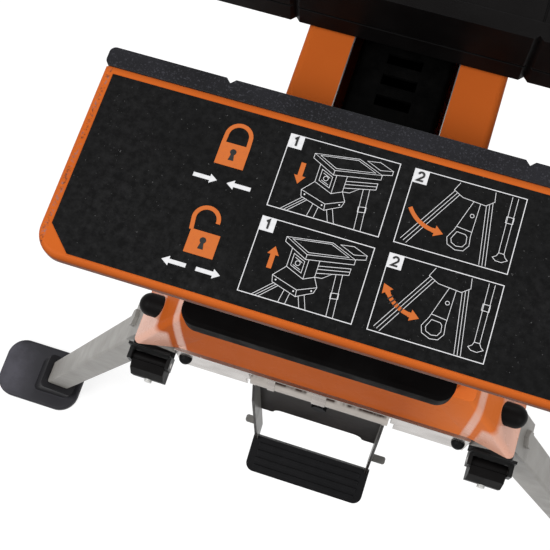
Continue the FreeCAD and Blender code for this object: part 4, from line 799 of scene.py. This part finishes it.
def pedal_picture(left, back, both_ways):
    # the flared foot with its front legs, a pedal swinging between them, and the rear leg on its foot
    legs = [
        [(27, 1.2), (24.5, 6.5), (30.5, 9.6), (44, 10.8), (48.4, 7.2), (47.6, 1.2)],
        [(25, 7), (3, 43.6)], [(28.2, 8.6), (6.6, 45.4)], [(26.6, 8), (4.8, 44.4)],
        [(44.4, 10.8), (49, 46)], [(47.6, 8.2), (52.6, 46)], [(46, 9.6), (50.8, 46)],
    ]
    pedal = [
        [(37, 10.3), (30.6, 30)], [(41, 10.6), (40.4, 31.4)],
        [(30.6, 30), (27.8, 35.4), (29, 39.4), (34, 41.5), (38.5, 40.8), (41, 37), (40.4, 31.4)],
        [(32.4, 30.6), (30.2, 35.4), (31, 37.8), (34.2, 39.2),
         (37.5, 38.6), (39, 36), (38.6, 32.2), (37.4, 31), True],
        [(31.6, 27.6), (40.4, 28.6)],
    ]
    rear = [
        [(57.4, 1.2), (57.8, 36)], [(60.8, 1.2), (60.9, 36)],
        [(57, 13.6), (61.2, 13.6), (61.2, 17.4), (57, 17.4), True],
        [(55, 39.4), (57, 38), (57.8, 36), (60.9, 36), (62, 38), (63.6, 39.2), (60.5, 41.2), (57, 41), True],
    ]
    sketch(left, back, legs + pedal + rear)
    white.ring(left + 38.2, back - 19, 1.1, DRAWN_LINE)
    swing_sign(left, back, both_ways)


# Places on the label: pictures as (left, right) and (front, back, lifted), padlocks as (u, v, is_open),
# pairs of arrows as (v, inward)
LEFT_PANELS = (-46.2, 20.0)
RIGHT_PANELS = (29.0, 94.5)
PICTURE_ROWS = ((-70.0, -23.2, False), (-123.4, -77.0, True))
PADLOCKS = ((-75.1, -39.5, False), (-74.2, -96.3, True))
ARROW_PAIRS = ((-64.2, True), (-118.6, False))
ARROWS_U = -75.6


def arrow_pair(v, inward):
    # two white arrows that point at each other or apart
    tip = 3.0 if inward else 17.5
    for side in (-1, 1):
        points_right = (side < 0) == inward
        white.arrow(ARROWS_U + side * tip, v, 0 if points_right else 180, 14.5, 2.9)


for front, back, lifted in PICTURE_ROWS:
    panel(*LEFT_PANELS, front, back, 1)
    panel(*RIGHT_PANELS, front, back, 2)
    stand_picture(LEFT_PANELS[0], back, lifted)
    pedal_picture(RIGHT_PANELS[0], back, lifted)
for lock in PADLOCKS:
    padlock(*lock)
for pair in ARROW_PAIRS:
    arrow_pair(*pair)
for sheet in (white, orange, black):
    sheet.finish()


# Stage: pale floor, white surround and soft lamps

AMBIENT = 0.45
PURE_WHITE = (1, 1, 1, 1)
STAND_MIDDLE = (0, 0, 0.45)
STAND_FRONT = (0, -0.2, 0.45)


def backdrop_rays(tree):
    # 1 for the rays that meet a white backdrop: seen directly, mirrored or through glass
    path = tree.nodes.new("ShaderNodeLightPath")
    seen = path.outputs["Is Camera Ray"]
    for name in ("Is Glossy Ray", "Is Transmission Ray"):
        either = tree.nodes.new("ShaderNodeMath")
        either.operation = "MAXIMUM"
        tree.links.new(seen, either.inputs[0])
        tree.links.new(path.outputs[name], either.inputs[1])
        seen = either.outputs["Value"]
    return seen


def pale_floor():
    bpy.ops.mesh.primitive_plane_add(size=12.0, location=(0, 0, cad_low.z))
    floor = bpy.context.object
    floor.name = "floor"
    s = Surface("floor_paper", Specular_IOR_Level=0.1, Roughness=0.9)
    s.colour(s.mix(s.ramp(s.noise(3.0, 4.0), 0.3, 0.7), (0.29, 0.29, 0.29), (0.33, 0.33, 0.33)))
    s.shader.inputs["Emission Color"].default_value = PURE_WHITE
    # far from the stand, where the lamps fall off, the floor runs into the white surround
    spread = s.node("ShaderNodeVectorMath", operation="LENGTH")
    s.link(s.place, spread.inputs[0])
    glow = s.ramp(spread.outputs["Value"], 1.0, 2.6, 0.74, 1.0)
    s.link(s.math("MULTIPLY", backdrop_rays(s.tree), glow), s.shader.inputs["Emission Strength"])
    floor.data.materials.append(s.material)


def white_surround():
    world = bpy.data.worlds.new("surround")
    bpy.context.scene.world = world
    world.use_nodes = True
    tree = world.node_tree
    tree.nodes.clear()
    ambient = tree.nodes.new("ShaderNodeBackground")
    ambient.inputs["Strength"].default_value = AMBIENT
    backdrop = tree.nodes.new("ShaderNodeBackground")
    backdrop.inputs["Color"].default_value = PURE_WHITE
    blend = tree.nodes.new("ShaderNodeMixShader")
    tree.links.new(backdrop_rays(tree), blend.inputs["Fac"])
    tree.links.new(ambient.outputs["Background"], blend.inputs[1])
    tree.links.new(backdrop.outputs["Background"], blend.inputs[2])
    out = tree.nodes.new("ShaderNodeOutputWorld")
    tree.links.new(blend.outputs["Shader"], out.inputs["Surface"])


def softbox(name, location, target, width, height, power):
    lamp = bpy.data.lights.new(name, "AREA")
    lamp.shape = "RECTANGLE"
    lamp.size = width
    lamp.size_y = height
    lamp.energy = power
    holder = bpy.data.objects.new(name, lamp)
    bpy.context.scene.collection.objects.link(holder)
    holder.location = location
    holder.rotation_mode = "QUATERNION"
    holder.rotation_quaternion = (Vector(target) - Vector(location)).to_track_quat("-Z", "Y")


def photo_camera():
    # the photograph's view: steep, from in front and above, turned about the line of sight
    right = Vector((0.95086, 0.30771, -0.03432))
    down = Vector((0.28388, -0.91070, -0.30007))
    ahead = Vector((-0.12358, 0.27558, -0.95330))
    place = Vector((0.04133, FACE_Y - 0.26514, JAW_TOP + 0.53977))
    data = bpy.data.cameras.new("photo_camera")
    data.sensor_width = 36.0
    data.lens = 66.25
    data.clip_start = 0.02
    data.clip_end = 50.0
    camera = bpy.data.objects.new("photo_camera", data)
    bpy.context.scene.collection.objects.link(camera)
    turn = Matrix((right, -down, -ahead)).transposed()
    camera.matrix_world = Matrix.Translation(place) @ turn.to_4x4()
    bpy.context.scene.camera = camera


pale_floor()
white_surround()
softbox("key_softbox", (-1.6, -1.4, 3.0), STAND_FRONT, 1.6, 1.6, 78)
softbox("fill_softbox", (1.9, -1.6, 2.2), STAND_FRONT, 1.2, 1.8, 30)
softbox("back_softbox", (0.4, 2.2, 2.6), STAND_MIDDLE, 1.8, 1.2, 36)
photo_camera()
bpy.context.scene.view_settings.view_transform = "Standard"
